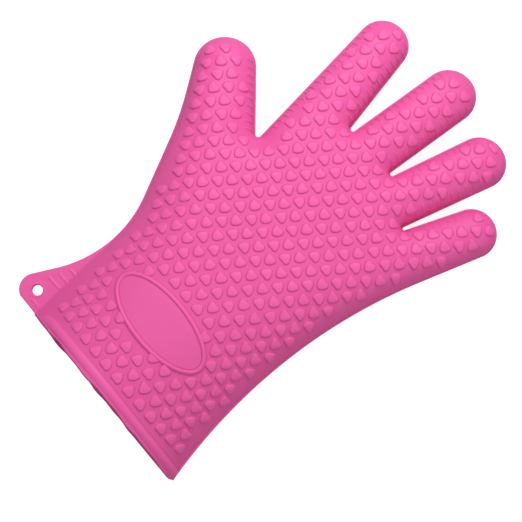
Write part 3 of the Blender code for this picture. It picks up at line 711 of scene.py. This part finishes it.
def half_skin(side, hearts):
    """Plan mesh of one side of the outer skin: vertices, triangles."""
    mouth_y = mouth_line(MOUTH_X, side)
    ring = np.vstack([outline_loop(0.0, 0.9), np.c_[MOUTH_X, mouth_y][::-1]])
    seams = seam_lines(0.8, 0.0)
    points = clear_of(plan_points(hearts), seams, 0.16)
    points = points[points[:, 1] > np.interp(points[:, 0], MOUTH_X, mouth_y) + 1.6]
    points = np.vstack([points, np.c_[MOUTH_X[2:-2], mouth_y[2:-2] + 0.35],
                        np.c_[MOUTH_X[3:-3:2], mouth_y[3:-3:2] + 1.2]])
    # seam ends are tied to the outline
    tied = []
    for (_, point, along, left, right), line in zip(SEAMS, seams):
        aside = across(along)
        line = line[edge_distance(line) > 0.05]
        tied.append(np.vstack([point + left * aside, line, point + right * aside]))
    return triangulate(points, ring, tied)


def build_outer():
    """Outer skin with hearts and ribs: vertices, faces, depth of painted shade at each vertex."""
    parts = []
    for side in (1, -1):
        hearts = HEARTS
        if side > 0:    # no hearts on the badge
            badge_radius = np.hypot((HEARTS[:, 0] - BADGE_CENTRE[0]) / BADGE_HALF[0],
                                    (HEARTS[:, 1] - BADGE_CENTRE[1]) / BADGE_HALF[1])
            hearts = HEARTS[badge_radius > 1.03]
        plan, triangles = half_skin(side, hearts)
        inward = edge_distance(plan)
        inward[np.abs(inward) < 0.02] = 0
        height = skin_height(plan, np.maximum(inward, 0))
        flat = inward <= 0
        height[flat] = 0
        base = np.c_[plan, height * side]
        normals = vertex_normals(base, triangles if side > 0 else triangles[:, ::-1])
        raised = heart_relief(plan, hearts)
        relief = np.maximum(raised, rib_relief(plan))
        relief[flat] = 0
        # painted shade, deepest round the foot of each heart and faint on the ground between
        level = np.clip(raised / HEART_RELIEF, 0, 1)
        painted_shade = np.maximum(np.clip(1 - np.abs(level - 0.32) / 0.42, 0, 1) * (level > 0.01),
                            0.35 * (1 - soft_step(level / 0.9)))
        parts.append((np.c_[base + normals * relief[:, None], painted_shade], triangles, flat, side > 0))
    rows, faces = merge_sides(parts)
    return rows[:, :3].copy(), faces, rows[:, 3]


# ---------------------------------------------------------------- inner skin and lip
INNER_STEP = 2.2


def build_inner():
    """Smooth body surface that the inner skin is offset from: vertices, faces."""
    parts = []
    xs = (MOUTH_L + FLANGE + 0.02
          + (MOUTH_X - MOUTH_L) * (MOUTH_R - MOUTH_L - 2 * FLANGE - 0.04) / (MOUTH_R - MOUTH_L))
    for side in (1, -1):
        loop = above_mouth(outline_loop(FLANGE, INNER_STEP), 1.0)
        mouth_y = mouth_line(xs, side)
        ring = np.vstack([loop, np.c_[xs, mouth_y][::-1]])
        rows = []
        for inset in (1.1, 1.4, 2.0, 3.0, 4.5):
            row = belt_points(INNER_STEP, inset=inset)
            rows.append(row[np.abs(edge_distance(row) - inset) < 0.05])
        points = np.vstack(rows + [hand_grid(3.4, 6.0)])
        points = points[points[:, 1] > np.interp(points[:, 0], xs, mouth_y) + 1.8]
        lines = seam_lines(INNER_STEP, FLANGE)
        plan, triangles = triangulate(clear_of(points, lines, 0.5), ring, lines)
        inward = edge_distance(plan)
        height = body_height(plan, np.maximum(inward, 0))
        flat = inward <= FLANGE + 0.02
        height[flat] = 0
        parts.append((np.c_[plan, height * side], triangles, flat, side > 0))
    return merge_sides(parts)


def mouth_loop(verts, faces):
    """Vertices of the open mouth edge, sorted by angle round the mouth, and the angles."""
    edges = np.vstack([faces[:, [0, 1]], faces[:, [1, 2]], faces[:, [2, 0]]])
    edges = {(a, b): True for a, b in edges}
    following = {a: b for a, b in edges if (b, a) not in edges}
    start = max(following, key=lambda i: verts[i][2])
    loop, current = [start], following[start]
    while current != start and len(loop) < 5000:
        loop.append(current)
        current = following[current]
    angles = np.array([math.atan2(verts[i][2] / 34.0, (verts[i][0] - 1.0) / 64.0) for i in loop])
    order = np.argsort(angles)
    return np.array(loop)[order], angles[order]


outer_v, outer_f, outer_painted_shade = build_outer()
base_v, inner_f = build_inner()
inner_n = vertex_normals(base_v, inner_f)
inner_v = base_v - inner_n * WALL
MOUTH_DIR = np.array((0.0, -math.cos(math.radians(RIM_SLANT)), math.sin(math.radians(RIM_SLANT))))
outer_mouth, outer_angles = mouth_loop(outer_v, outer_f)
inner_mouth, inner_angles = mouth_loop(base_v, inner_f)
# the inner mouth edge is offset within the plane of the mouth
for i in inner_mouth:
    normal = inner_n[i] - (inner_n[i] @ MOUTH_DIR) * MOUTH_DIR
    normal /= np.linalg.norm(normal)
    inner_v[i] = base_v[i] - normal * WALL


def build_lip():
    """Rows of the rounded lip after the outer mouth edge, ending in a short sleeve."""
    outer_ring, inner_ring = outer_v[outer_mouth], inner_v[inner_mouth]
    angles = np.r_[inner_angles[-1:] - 2 * math.pi, inner_angles, inner_angles[:1] + 2 * math.pi]
    ring = np.vstack([inner_ring[-1:], inner_ring, inner_ring[:1]])
    inner_ring = np.array([np.interp(outer_angles, angles, ring[:, k]) for k in range(3)]).T
    centre, radius = (outer_ring + inner_ring) / 2, (outer_ring - inner_ring) / 2
    rows = [centre + radius * math.cos(math.radians(turn))
            + MOUTH_DIR * 0.55 * math.sin(math.radians(turn)) for turn in (40, 90, 140)]
    return rows + [inner_ring, inner_ring - MOUTH_DIR * 1.2]


# The whole skin as one mesh for shared normals
lip_rows = build_lip()
lip_start = len(outer_v) + len(inner_v)
lip_numbers = np.arange(len(lip_rows) * len(outer_mouth)).reshape(len(lip_rows), -1) + lip_start
lip_f = grid_triangles(np.vstack([outer_mouth, lip_numbers]), True)[:, [0, 2, 1]]
skin_v = np.vstack([outer_v, inner_v, *lip_rows])
skin_f = np.vstack([outer_f, inner_f[:, ::-1] + len(outer_v), lip_f])
skin_n = vertex_normals(skin_v, skin_f)
# painted shade: the inside of the glove and the lip are painted nearly fully darker, as shade within
# the mouth
skin_painted_shade = np.concatenate([outer_painted_shade, np.full(len(skin_v) - len(outer_v), 0.9)])
# inner faces are sorted by the plan place they were drawn at
centroids = np.vstack([outer_v[outer_f].mean(1), base_v[inner_f].mean(1)])
face_regions = np.concatenate([region(centroids[:, :2]),
                               np.full(len(lip_f), "wrist_1", dtype=object)])


# ---------------------------------------------------------------- mesh objects
def link_object(name, data):
    obj = bpy.data.objects.new(name, data)
    bpy.context.scene.collection.objects.link(obj)
    return obj


def make_object(name, verts, faces, normals, material, painted_shade=None):
    """Smooth mesh of the used vertices, with custom normals and an attribute of painted shade."""
    used = np.unique(faces)
    index = np.full(len(verts), -1)
    index[used] = np.arange(len(used))
    triangles = index[faces]
    count = len(triangles)
    mesh = bpy.data.meshes.new(name)
    mesh.vertices.add(len(used))
    mesh.vertices.foreach_set("co", to_frame(verts[used]).astype(np.float32).ravel())
    mesh.loops.add(count * 3)
    mesh.loops.foreach_set("vertex_index", triangles.ravel().astype(np.int32))
    mesh.polygons.add(count)
    mesh.polygons.foreach_set("loop_start", (np.arange(count) * 3).astype(np.int32))
    mesh.polygons.foreach_set("loop_total", np.full(count, 3, np.int32))
    mesh.polygons.foreach_set("use_smooth", np.ones(count, bool))
    mesh.update(calc_edges=True)
    mesh.validate()
    if painted_shade is not None:
        layer = mesh.attributes.new("painted_shade", "FLOAT", "POINT")
        layer.data.foreach_set("value", painted_shade[used].astype(np.float32))
    mesh.normals_split_custom_set_from_vertices((normals[used] @ TURN.T).tolist())
    obj = link_object(name, mesh)
    obj.data.materials.append(material)
    return obj


# ---------------------------------------------------------------- materials
PINK = (0.85, 0.118, 0.388)
# painted shade: tint multiplied into the pink at the feet of the relief and inside the mouth
PAINTED_SHADE_TINT = (0.75, 0.58, 0.69)


def silicone(name, colour, roughness, grain=1.0):
    """Satin silicone: cloudy tint and sheen, fine grain, painted shade multiplied in at the creases.
    """
    material = bpy.data.materials.new(name)
    material.use_nodes = True
    nodes, link = material.node_tree.nodes, material.node_tree.links.new
    shader = nodes["Principled BSDF"]
    coords = nodes.new("ShaderNodeTexCoord")

    def noise(scale, detail, roughness):
        texture = nodes.new("ShaderNodeTexNoise")
        texture.inputs["Scale"].default_value = scale
        texture.inputs["Detail"].default_value = detail
        texture.inputs["Roughness"].default_value = roughness
        link(coords.outputs["Object"], texture.inputs["Vector"])
        return texture

    cloud = noise(scale=28.0, detail=3.0, roughness=0.55)
    fine = noise(scale=900.0, detail=2.0, roughness=0.6)
    tint = nodes.new("ShaderNodeMix")
    tint.data_type = "RGBA"
    tint.inputs["A"].default_value = (*[part * 0.955 for part in colour], 1)
    tint.inputs["B"].default_value = (*[min(1, part * 1.03) for part in colour], 1)
    link(cloud.outputs["Fac"], tint.inputs["Factor"])
    # painted shade: the pink is multiplied by the dark tint as far as the per-vertex shade attribute
    # says
    painted_shade_mix = nodes.new("ShaderNodeMix")
    painted_shade_mix.data_type = "RGBA"
    painted_shade_mix.blend_type = "MULTIPLY"
    painted_shade_mix.inputs["B"].default_value = (*PAINTED_SHADE_TINT, 1)
    painted_shade = nodes.new("ShaderNodeAttribute")
    painted_shade.attribute_name = "painted_shade"
    link(painted_shade.outputs["Fac"], painted_shade_mix.inputs["Factor"])
    link(tint.outputs["Result"], painted_shade_mix.inputs["A"])
    link(painted_shade_mix.outputs["Result"], shader.inputs["Base Color"])
    satin = nodes.new("ShaderNodeMapRange")
    satin.inputs["To Min"].default_value = roughness - 0.05
    satin.inputs["To Max"].default_value = roughness + 0.08
    link(cloud.outputs["Fac"], satin.inputs["Value"])
    link(satin.outputs["Result"], shader.inputs["Roughness"])
    bump = nodes.new("ShaderNodeBump")
    bump.inputs["Strength"].default_value = 0.12 * grain
    bump.inputs["Distance"].default_value = 0.0002
    link(fine.outputs["Fac"], bump.inputs["Height"])
    link(bump.outputs["Normal"], shader.inputs["Normal"])
    for socket, value in {
            "IOR": 1.41, "Specular IOR Level": 0.26, "Subsurface Weight": 0.06,
            "Subsurface Radius": (1.0, 0.30, 0.45), "Subsurface Scale": 0.0012,
            "Sheen Weight": 0.02, "Sheen Roughness": 0.5}.items():
        shader.inputs[socket].default_value = value
    return material


skin_mat = silicone("silicone_skin", PINK, roughness=0.44)
badge_mat = silicone("silicone_badge", tuple(part * 0.94 for part in PINK), roughness=0.38,
                     grain=0.6)

# ---------------------------------------------------------------- skin pieces
# Region: object name, frame nodes it replaces
PIECES = {"palm": ("palm_skin", ["palm_shell"]),
          "wrist_0": ("wrist_skin", []),
          "wrist_1": ("gauntlet_skin", ["gauntlet_shell"]),
          "thumb_0": ("thumb_root_skin", ["thumb_proximal"]),
          "thumb_1": ("thumb_tip_skin", ["thumb_distal"])}
RIDES = {"palm": "palm", "wrist_1": "gauntlet"}
# Region: parent body, child body, plan start and end of the bending zone
zone_left, zone_start, zone_end = THUMB_BASE_ZONE
thumb_base = np.array(THUMB_CROTCH) - zone_left * across(thumb_along)
BLENDS = {
    "wrist_0": ("palm", "gauntlet", *[(WRIST_X, y) for y in WRIST_ZONE_Y]),
    "thumb_0": ("palm", "thumb_base", thumb_base + zone_start * thumb_along,
                thumb_base + zone_end * thumb_along),
    "thumb_1": ("thumb_base", "thumb_tip",
                *[back_from(THUMB_TIP, THUMB_LEAN, back) for back in THUMB_TIP_ZONE])}
for finger, (tip, lean, zones) in FINGERS.items():
    parent = "palm"
    labels = (("knuckle", "proximal"), ("middle", "middle"), ("tip", "distal"))
    for i, (label, bone) in enumerate(labels):
        child = f"{finger}_{bone}"
        PIECES[f"{finger}_{i}"] = (f"{finger}_finger_{label}_skin", [f"{finger}_finger_{bone}"])
        BLENDS[f"{finger}_{i}"] = (parent, child,
                                   *[back_from(tip, lean, back) for back in zones[i][1:]])
        parent = child

for key, (name, replaced) in PIECES.items():
    obj = make_object(name, skin_v, skin_f[face_regions == key], skin_n, skin_mat, skin_painted_shade)
    if key in RIDES:
        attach(obj, RIDES[key])
    else:
        parent, child, start, end = BLENDS[key]
        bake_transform(obj)
    if replaced:
        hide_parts(*replaced)


def gauntlet_piece(name, verts, faces, material, replaced, painted_shade=None):
    """Object that rides on the gauntlet in place of one frame node."""
    obj = make_object(name, verts, faces, vertex_normals(verts, faces), material, painted_shade)
    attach(obj, "gauntlet")
    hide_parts(replaced)


# ---------------------------------------------------------------- cuff bead
# Bead profile: (y towards the fingertips, height off the skin, depth of painted shade)
BEAD_PROFILE = [
    (2.2, -0.45, 0.8), (1.75, 0.0, 0.6), (1.25, 0.3, 0.3), (0.75, 0.62, 0.0), (0.2, 0.9, 0.0),
    (-0.4, 1.08, 0.0), (-1.1, 1.15, 0.0), (-1.9, 1.05, 0.0), (-2.7, 0.82, 0.0),
    (-3.4, 0.5, 0.2), (-3.95, 0.15, 0.5), (-4.4, -0.45, 0.8), (-3.0, -0.9, 0.0),
    (1.0, -0.9, 0.0)]


def section(y, count):
    """Closed slanted section (x, z) of the body, from its left end over the badge side."""
    line = np.arange(-75.0, 80.0, 0.05)
    inside = line[edge_distance(np.c_[line, np.full(len(line), y)]) > FLANGE]
    left, right = inside[0], inside[-1]
    x = (left + right) / 2 - (right - left) / 2 * np.cos(np.linspace(0, math.pi, count))
    sides = []
    for sign in (1, -1):
        z = np.zeros(count)
        for _ in range(6):
            points = np.c_[x, y + sign * SLANT * z]
            z = body_height(points, np.maximum(edge_distance(points), 0))
        z[0] = z[-1] = 0
        sides.append(z)
    return np.vstack([np.c_[x, sides[0]], np.c_[x[-2:0:-1], -sides[1][-2:0:-1]]])


def make_bead():
    """Bead round the cuff, open and faded out on the thumb side where the tab sits."""
    ring = resample(section(BEAD_Y, 200), 420)
    step = np.roll(ring, -1, axis=0) - np.roll(ring, 1, axis=0)
    step /= np.linalg.norm(step, axis=1)[:, None]
    normals = np.c_[-step[:, 1], step[:, 0]]
    for _ in range(12):
        normals = normals + 0.5 * (np.roll(normals, 1, axis=0) + np.roll(normals, -1, axis=0))
        normals /= np.linalg.norm(normals, axis=1)[:, None]
    path = [i for i, (x, z) in enumerate(ring) if not (x < -20 and abs(z) < 2.6)]
    verts = []
    for n, i in enumerate(path):
        (x, z), (out_x, out_z) = ring[i], normals[i]
        fade = soft_step(min(n, len(path) - 1 - n) / 36.0)
        for along, lift, _ in BEAD_PROFILE:
            lift = lift if lift < 0 else lift * fade - 0.3 * (1 - fade)
            verts.append((x + lift * out_x, BEAD_Y + along + SLANT * z, z + lift * out_z))
    verts = np.array(verts)
    count = len(BEAD_PROFILE)
    grid = np.arange(len(verts)).reshape(len(path), count)
    first, last = grid[0], grid[-1]
    caps = [(first[j + 1], first[j], first[0]) for j in range(1, count - 1)]
    caps += [(last[0], last[j], last[j + 1]) for j in range(1, count - 1)]
    faces = outward(verts, np.vstack([grid_triangles(grid, True), np.array(caps)]))
    painted_shade = np.tile([depth for _, _, depth in BEAD_PROFILE], len(path))
    gauntlet_piece("cuff_rim_bead_ring", verts, faces, skin_mat, "cuff_rim_bead",
                   painted_shade)


# ---------------------------------------------------------------- badge
BADGE_SEGMENTS = 150
PANEL_INSET, PANEL_RINGS = 2.3, 22
# Rim profile: (inset from the badge oval, height off the skin, depth of painted shade)
BADGE_RIM_PROFILE = [
    (-0.75, -0.6, 1.0), (-0.45, 0.02, 0.9), (-0.15, 0.45, 0.35), (0.2, 0.95, 0.0),
    (0.65, 1.30, 0.0), (1.15, 1.45, 0.0), (1.6, 1.38, 0.0), (2.05, 1.08, 0.0),
    (2.4, 0.62, 0.35), (2.62, 0.2, 0.9), (2.75, -0.6, 1.0)]


def badge_oval(inset, lift, scale=1.0):
    """Oval ring lifted off the skin."""
    angle = np.linspace(0, 2 * math.pi, BADGE_SEGMENTS, endpoint=False)
    points = np.c_[BADGE_CENTRE[0] + (BADGE_HALF[0] - inset) * scale * np.cos(angle),
                   BADGE_CENTRE[1] + (BADGE_HALF[1] - inset) * scale * np.sin(angle)]
    return np.c_[points, body_height(points) + lift]


def make_badge_rim():
    verts = np.vstack([badge_oval(inset, lift) for inset, lift, _ in BADGE_RIM_PROFILE])
    grid = np.arange(len(verts)).reshape(-1, BADGE_SEGMENTS)
    faces = outward(verts, grid_triangles(np.vstack([grid, grid[:1]]), True))
    painted_shade = np.repeat([depth for _, _, depth in BADGE_RIM_PROFILE], BADGE_SEGMENTS)
    gauntlet_piece("badge_rim_ring", verts, faces, skin_mat, "badge_rim", painted_shade)


def make_badge_panel():
    """Slightly domed oval inside the rim, closed underneath."""
    rings = [badge_oval(PANEL_INSET, 0.42 + 0.10 * float(soft_step((1 - scale) / 0.3)), scale)
             for scale in np.linspace(1, 0.03, PANEL_RINGS)]
    middle = np.array([[*BADGE_CENTRE, float(body_height(np.array([BADGE_CENTRE]))[0]) + 0.52]])
    verts = np.vstack(rings + [badge_oval(PANEL_INSET, -0.8), middle, middle - (0, 0, 1.8)])
    top, bottom = len(verts) - 2, len(verts) - 1
    grid = np.arange(top).reshape(-1, BADGE_SEGMENTS)
    grid, low = grid[:-1], grid[-1]
    following = [(j + 1) % BADGE_SEGMENTS for j in range(BADGE_SEGMENTS)]
    faces = outward(verts, np.vstack([
        grid_triangles(grid, True), grid_triangles(np.vstack([low, grid[0]]), True),
        [(grid[-1][j], grid[-1][k], top) for j, k in enumerate(following)],
        [(low[k], low[j], bottom) for j, k in enumerate(following)]]))
    gauntlet_piece("badge_panel_oval", verts, faces, badge_mat, "badge_panel")


# ---------------------------------------------------------------- hanging tab
TAB_ARC_POINTS, TAB_FLARE_POINTS = 50, 30
TAB_CORNER_SWEEP = 118
TAB_FLARE = tangent((*TAB_CORNER, 1), WAIST)    # straight run: (corner end, waist end)
# Raised lines on the tab: (start, end)
TAB_LINES = [((-71.6, -100.7), (-62.6, -100.5)), ((-69.2, -94.9), (-61.6, -94.6)),
             ((-66.9, -88.6), (-61.6, -88.2)), ((-67.2, -116.3), (-62.6, -116.3))]


def tube_edge(y):
    line = np.arange(-78.0, -45.0, 0.02)
    return float(line[edge_distance(np.c_[line, np.full(len(line), y)]) > 0][0])


def circle_points(x, y, radius, angles):
    return [(x + radius * math.cos(angle), y + radius * math.sin(angle)) for angle in angles]


def tab_free_edge():
    """From the top down the waist arc, the straight flare, the corner and the bottom edge."""
    low, high = TAB_FLARE
    first, last = (math.atan2(y - WAIST[1], x - WAIST[0]) for x, y in (TAB_TOP, high))
    edge = circle_points(*WAIST[:3], np.linspace(first, last, TAB_ARC_POINTS, endpoint=False))
    edge += [(low[0] + (high[0] - low[0]) * t, low[1] + (high[1] - low[1]) * t)
             for t in np.linspace(1, 0, TAB_FLARE_POINTS, endpoint=False)]
    first = math.atan2(low[1] - TAB_CORNER[1], low[0] - TAB_CORNER[0])
    angles = np.linspace(first, first + math.radians(TAB_CORNER_SWEEP), 46)
    edge += [(x, max(y, TAB_EDGE_Y)) for x, y in circle_points(*TAB_CORNER, angles)]
    edge = [point for i, point in enumerate(edge)
            if i == 0 or math.hypot(point[0] - edge[i - 1][0], point[1] - edge[i - 1][1]) > 0.15]
    edge += [(x, TAB_EDGE_Y)
             for x in np.arange(edge[-1][0] + 0.5, tube_edge(TAB_EDGE_Y) + 1.6, 0.6)]
    return np.array(edge)


TAB_EDGE = tab_free_edge()


def tab_distance(points):
    """Distance from the tab's free edge."""
    return segment_distance(points, TAB_EDGE[:-1], TAB_EDGE[1:] - TAB_EDGE[:-1])


def hole_distance(points):
    """Distance from the centre of the tab's hole."""
    return np.hypot(points[:, 0] - TAB_HOLE[0], points[:, 1] - TAB_HOLE[1])


def tab_relief(points):
    """Raised lines and a low ring round the hole."""
    result = np.zeros(len(points))
    for start, end in TAB_LINES:
        start = np.array(start)
        step = np.array(end) - start
        length = math.hypot(*step)
        t = np.clip((points - start) @ step / length, 0, length)
        aside = np.hypot(*(points - start - t[:, None] * step / length).T)
        result = np.maximum(result, 0.6 * np.cos(np.clip(aside / 1.0, 0, 1) * math.pi / 2) ** 2)
    beyond = hole_distance(points) - TAB_HOLE[2]
    return np.maximum(result, 0.3 * soft_step(beyond / 0.4) * (1 - soft_step((beyond - 1.1) / 0.6)))


def tab_height(points):
    """Half thickness, rounded at the free edge and the hole, sinking into the tube wall."""
    beyond = hole_distance(points) - TAB_HOLE[2]
    near = np.minimum(tab_distance(points), np.maximum(beyond, 0))
    inward = edge_distance(points)
    return tab_root(points, inward) * quarter_round(near / 0.8) - 0.16 * np.maximum(inward, 0)


def tab_points(inner_side):
    """Plan points inside the tab: rows along the edge and the hole, and a fine grid."""
    x, y, radius = TAB_HOLE
    step = np.gradient(TAB_EDGE, axis=0)
    step /= np.linalg.norm(step, axis=1)[:, None]
    rows = []
    for inset in (0.06, 0.2, 0.42, 0.75, 1.2):
        row = TAB_EDGE + np.c_[-step[:, 1], step[:, 0]] * inset
        rows.append(row[np.abs(tab_distance(row) - inset) < 0.02 + 0.1 * inset])
    for gap in (0.06, 0.2, 0.42, 0.75, 1.1, 1.5, 2.0):
        rows.append(np.array(hole_ring(radius + gap)))
    grid = staggered(np.arange(-82, -50, 0.55), np.arange(-121, -60, 0.5), 0.27)
    grid = grid[(grid[:, 1] > TAB_EDGE_Y + 0.3) & (grid[:, 1] < TAB_TOP[1] - 0.3)]
    grid = grid[(tab_distance(grid) > 1.4) & (hole_distance(grid) > radius + 2.2)]
    upper = TAB_EDGE[:TAB_ARC_POINTS + TAB_FLARE_POINTS][::-1]
    left = np.where(grid[:, 1] > TAB_FLARE[0][1],
                    np.interp(grid[:, 1], upper[:, 1], upper[:, 0]), -83)
    right = np.interp(grid[:, 1], inner_side[:, 1], inner_side[:, 0])
    grid = grid[(grid[:, 0] < right - 0.3) & (grid[:, 0] > left + 0.5)]
    return np.vstack(rows + [grid])


def hole_ring(radius):
    angle = np.linspace(0, 2 * math.pi, 48, endpoint=False)
    return np.c_[TAB_HOLE[0] + radius * np.cos(angle), TAB_HOLE[1] + radius * np.sin(angle)]


def make_tab():
    inner_side = np.array([(tube_edge(y) + 2.4, y)
                           for y in np.linspace(TAB_EDGE_Y, TAB_TOP[1], 60)])
    loop = np.vstack([TAB_EDGE, inner_side])
    hole = hole_ring(TAB_HOLE[2])
    edges = loop_edges(len(loop)) + loop_edges(len(hole), len(loop))
    plan, faces, _ = plan_mesh(np.vstack([loop, hole, tab_points(inner_side)]), edges)
    faces = faces[hole_distance(plan[faces].mean(1)) > TAB_HOLE[2] * 0.998]
    free = (tab_distance(plan) < 0.01) | (np.abs(hole_distance(plan) - TAB_HOLE[2]) < 0.02)
    height = tab_height(plan)
    relief = tab_relief(plan)
    height[free] = 0
    relief[free] = 0
    verts, faces = merge_sides([(np.c_[plan, height + relief], faces, free, True),
                                (np.c_[plan, -height - relief], faces, free, False)])
    gauntlet_piece("hang_tab_plate", verts, faces, skin_mat, "hang_tab")


make_bead()
make_badge_rim()
make_badge_panel()
make_tab()


# ---------------------------------------------------------------- floor (metres)
def make_floor():
    """White floor: matt with a glow that only the camera sees."""
    half = 3
    z = min(float(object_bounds()[0][2]), 0.0) - 0.0001  # just under the lowest point
    mesh = bpy.data.meshes.new("floor")
    mesh.from_pydata([(-half, -half, z), (half, -half, z), (half, half, z), (-half, half, z)],
                     [], [(0, 1, 2, 3)])
    floor = link_object("floor", mesh)
    material = bpy.data.materials.new("floor_white")
    material.use_nodes = True
    nodes, link = material.node_tree.nodes, material.node_tree.links.new
    nodes.clear()
    matt = nodes.new("ShaderNodeBsdfDiffuse")
    matt.inputs["Color"].default_value = (0.4, 0.4, 0.4, 1)
    glow = nodes.new("ShaderNodeEmission")
    glow.inputs["Strength"].default_value = 0.9
    both = nodes.new("ShaderNodeAddShader")
    pick = nodes.new("ShaderNodeMixShader")
    path = nodes.new("ShaderNodeLightPath")
    output = nodes.new("ShaderNodeOutputMaterial")
    link(matt.outputs[0], both.inputs[0])
    link(glow.outputs[0], both.inputs[1])
    link(path.outputs["Is Camera Ray"], pick.inputs["Fac"])
    link(matt.outputs[0], pick.inputs[1])
    link(both.outputs[0], pick.inputs[2])
    link(pick.outputs[0], output.inputs["Surface"])
    floor.data.materials.append(material)


# ---------------------------------------------------------------- camera and lights
# View axis from the glove to the camera, in the moulding frame
VIEW_TILT_X, VIEW_TILT_Y, VIEW_ROLL = 5.1, -6.0, 39.9
VIEW_DISTANCE = 557.65      # mm
LENS, SENSOR = 65.517241, 36.0
view_axis = np.array([math.tan(math.radians(VIEW_TILT_X)), math.tan(math.radians(VIEW_TILT_Y)),
                      1.0])
view_axis /= np.linalg.norm(view_axis)
view_right = np.array([math.sin(math.radians(VIEW_ROLL)), math.cos(math.radians(VIEW_ROLL)), 0.0])
view_right -= (view_right @ view_axis) * view_axis
view_right /= np.linalg.norm(view_right)
view_up = np.cross(view_axis, view_right)


def make_camera():
    data = bpy.data.cameras.new("camera")
    data.sensor_width = SENSOR
    data.lens = LENS
    data.clip_start, data.clip_end = 0.01, 20.0
    camera = link_object("camera", data)
    placed = np.eye(4)
    for column, vector in enumerate((view_right, view_up, view_axis)):
        placed[:3, column] = TURN @ vector
    placed[:3, 3] = to_frame(view_axis * VIEW_DISTANCE)[0]
    camera.matrix_world = Matrix(placed.tolist())
    bpy.context.scene.camera = camera


def from_view(right, up, towards):
    """Frame direction from parts to the camera's right, up and towards the camera."""
    return TURN @ (right * view_right + up * view_up + towards * view_axis)


def area_light(name, way, size, power, distance=0.50, target=(0.0, 0.0, 0.02)):
    """Square light (metres, watts) facing the target from the given direction."""
    data = bpy.data.lights.new(name, "AREA")
    data.shape = "SQUARE"
    data.size = size
    data.energy = power
    light = link_object(name, data)
    way = Vector(way.tolist()).normalized()
    light.location = Vector(target) + way * distance
    light.rotation_mode = "QUATERNION"
    light.rotation_quaternion = way.to_track_quat("Z", "Y")


def make_world():
    """Pale surroundings, brightest overhead on the camera's side."""
    world = bpy.data.worlds.new("studio")
    world.use_nodes = True
    nodes, link = world.node_tree.nodes, world.node_tree.links.new
    nodes.clear()
    coords = nodes.new("ShaderNodeTexCoord")
    facing = nodes.new("ShaderNodeVectorMath")
    facing.operation = "DOT_PRODUCT"
    facing.inputs[1].default_value = tuple(from_view(right=0.1, up=0.1, towards=0.96).tolist())
    ramp = nodes.new("ShaderNodeMapRange")
    ramp.interpolation_type = "SMOOTHSTEP"
    for socket, value in {"From Min": -0.6, "From Max": 0.7, "To Min": 0.32,
                          "To Max": 0.53}.items():
        ramp.inputs[socket].default_value = value
    sky = nodes.new("ShaderNodeBackground")
    output = nodes.new("ShaderNodeOutputWorld")
    link(coords.outputs["Generated"], facing.inputs[0])
    link(facing.outputs["Value"], ramp.inputs["Value"])
    link(ramp.outputs["Result"], sky.inputs["Strength"])
    link(sky.outputs[0], output.inputs["Surface"])
    bpy.context.scene.world = world


make_floor()
make_camera()
area_light("key", from_view(right=0.22, up=0.85, towards=0.82), size=0.26, power=1.75)
area_light("fill_right", from_view(right=0.85, up=-0.6, towards=0.8), size=0.30, power=0.44)
area_light("fill_left", from_view(right=-0.7, up=-0.1, towards=0.8), size=0.30, power=0.31)
make_world()
bpy.context.scene.view_settings.view_transform = "Standard"
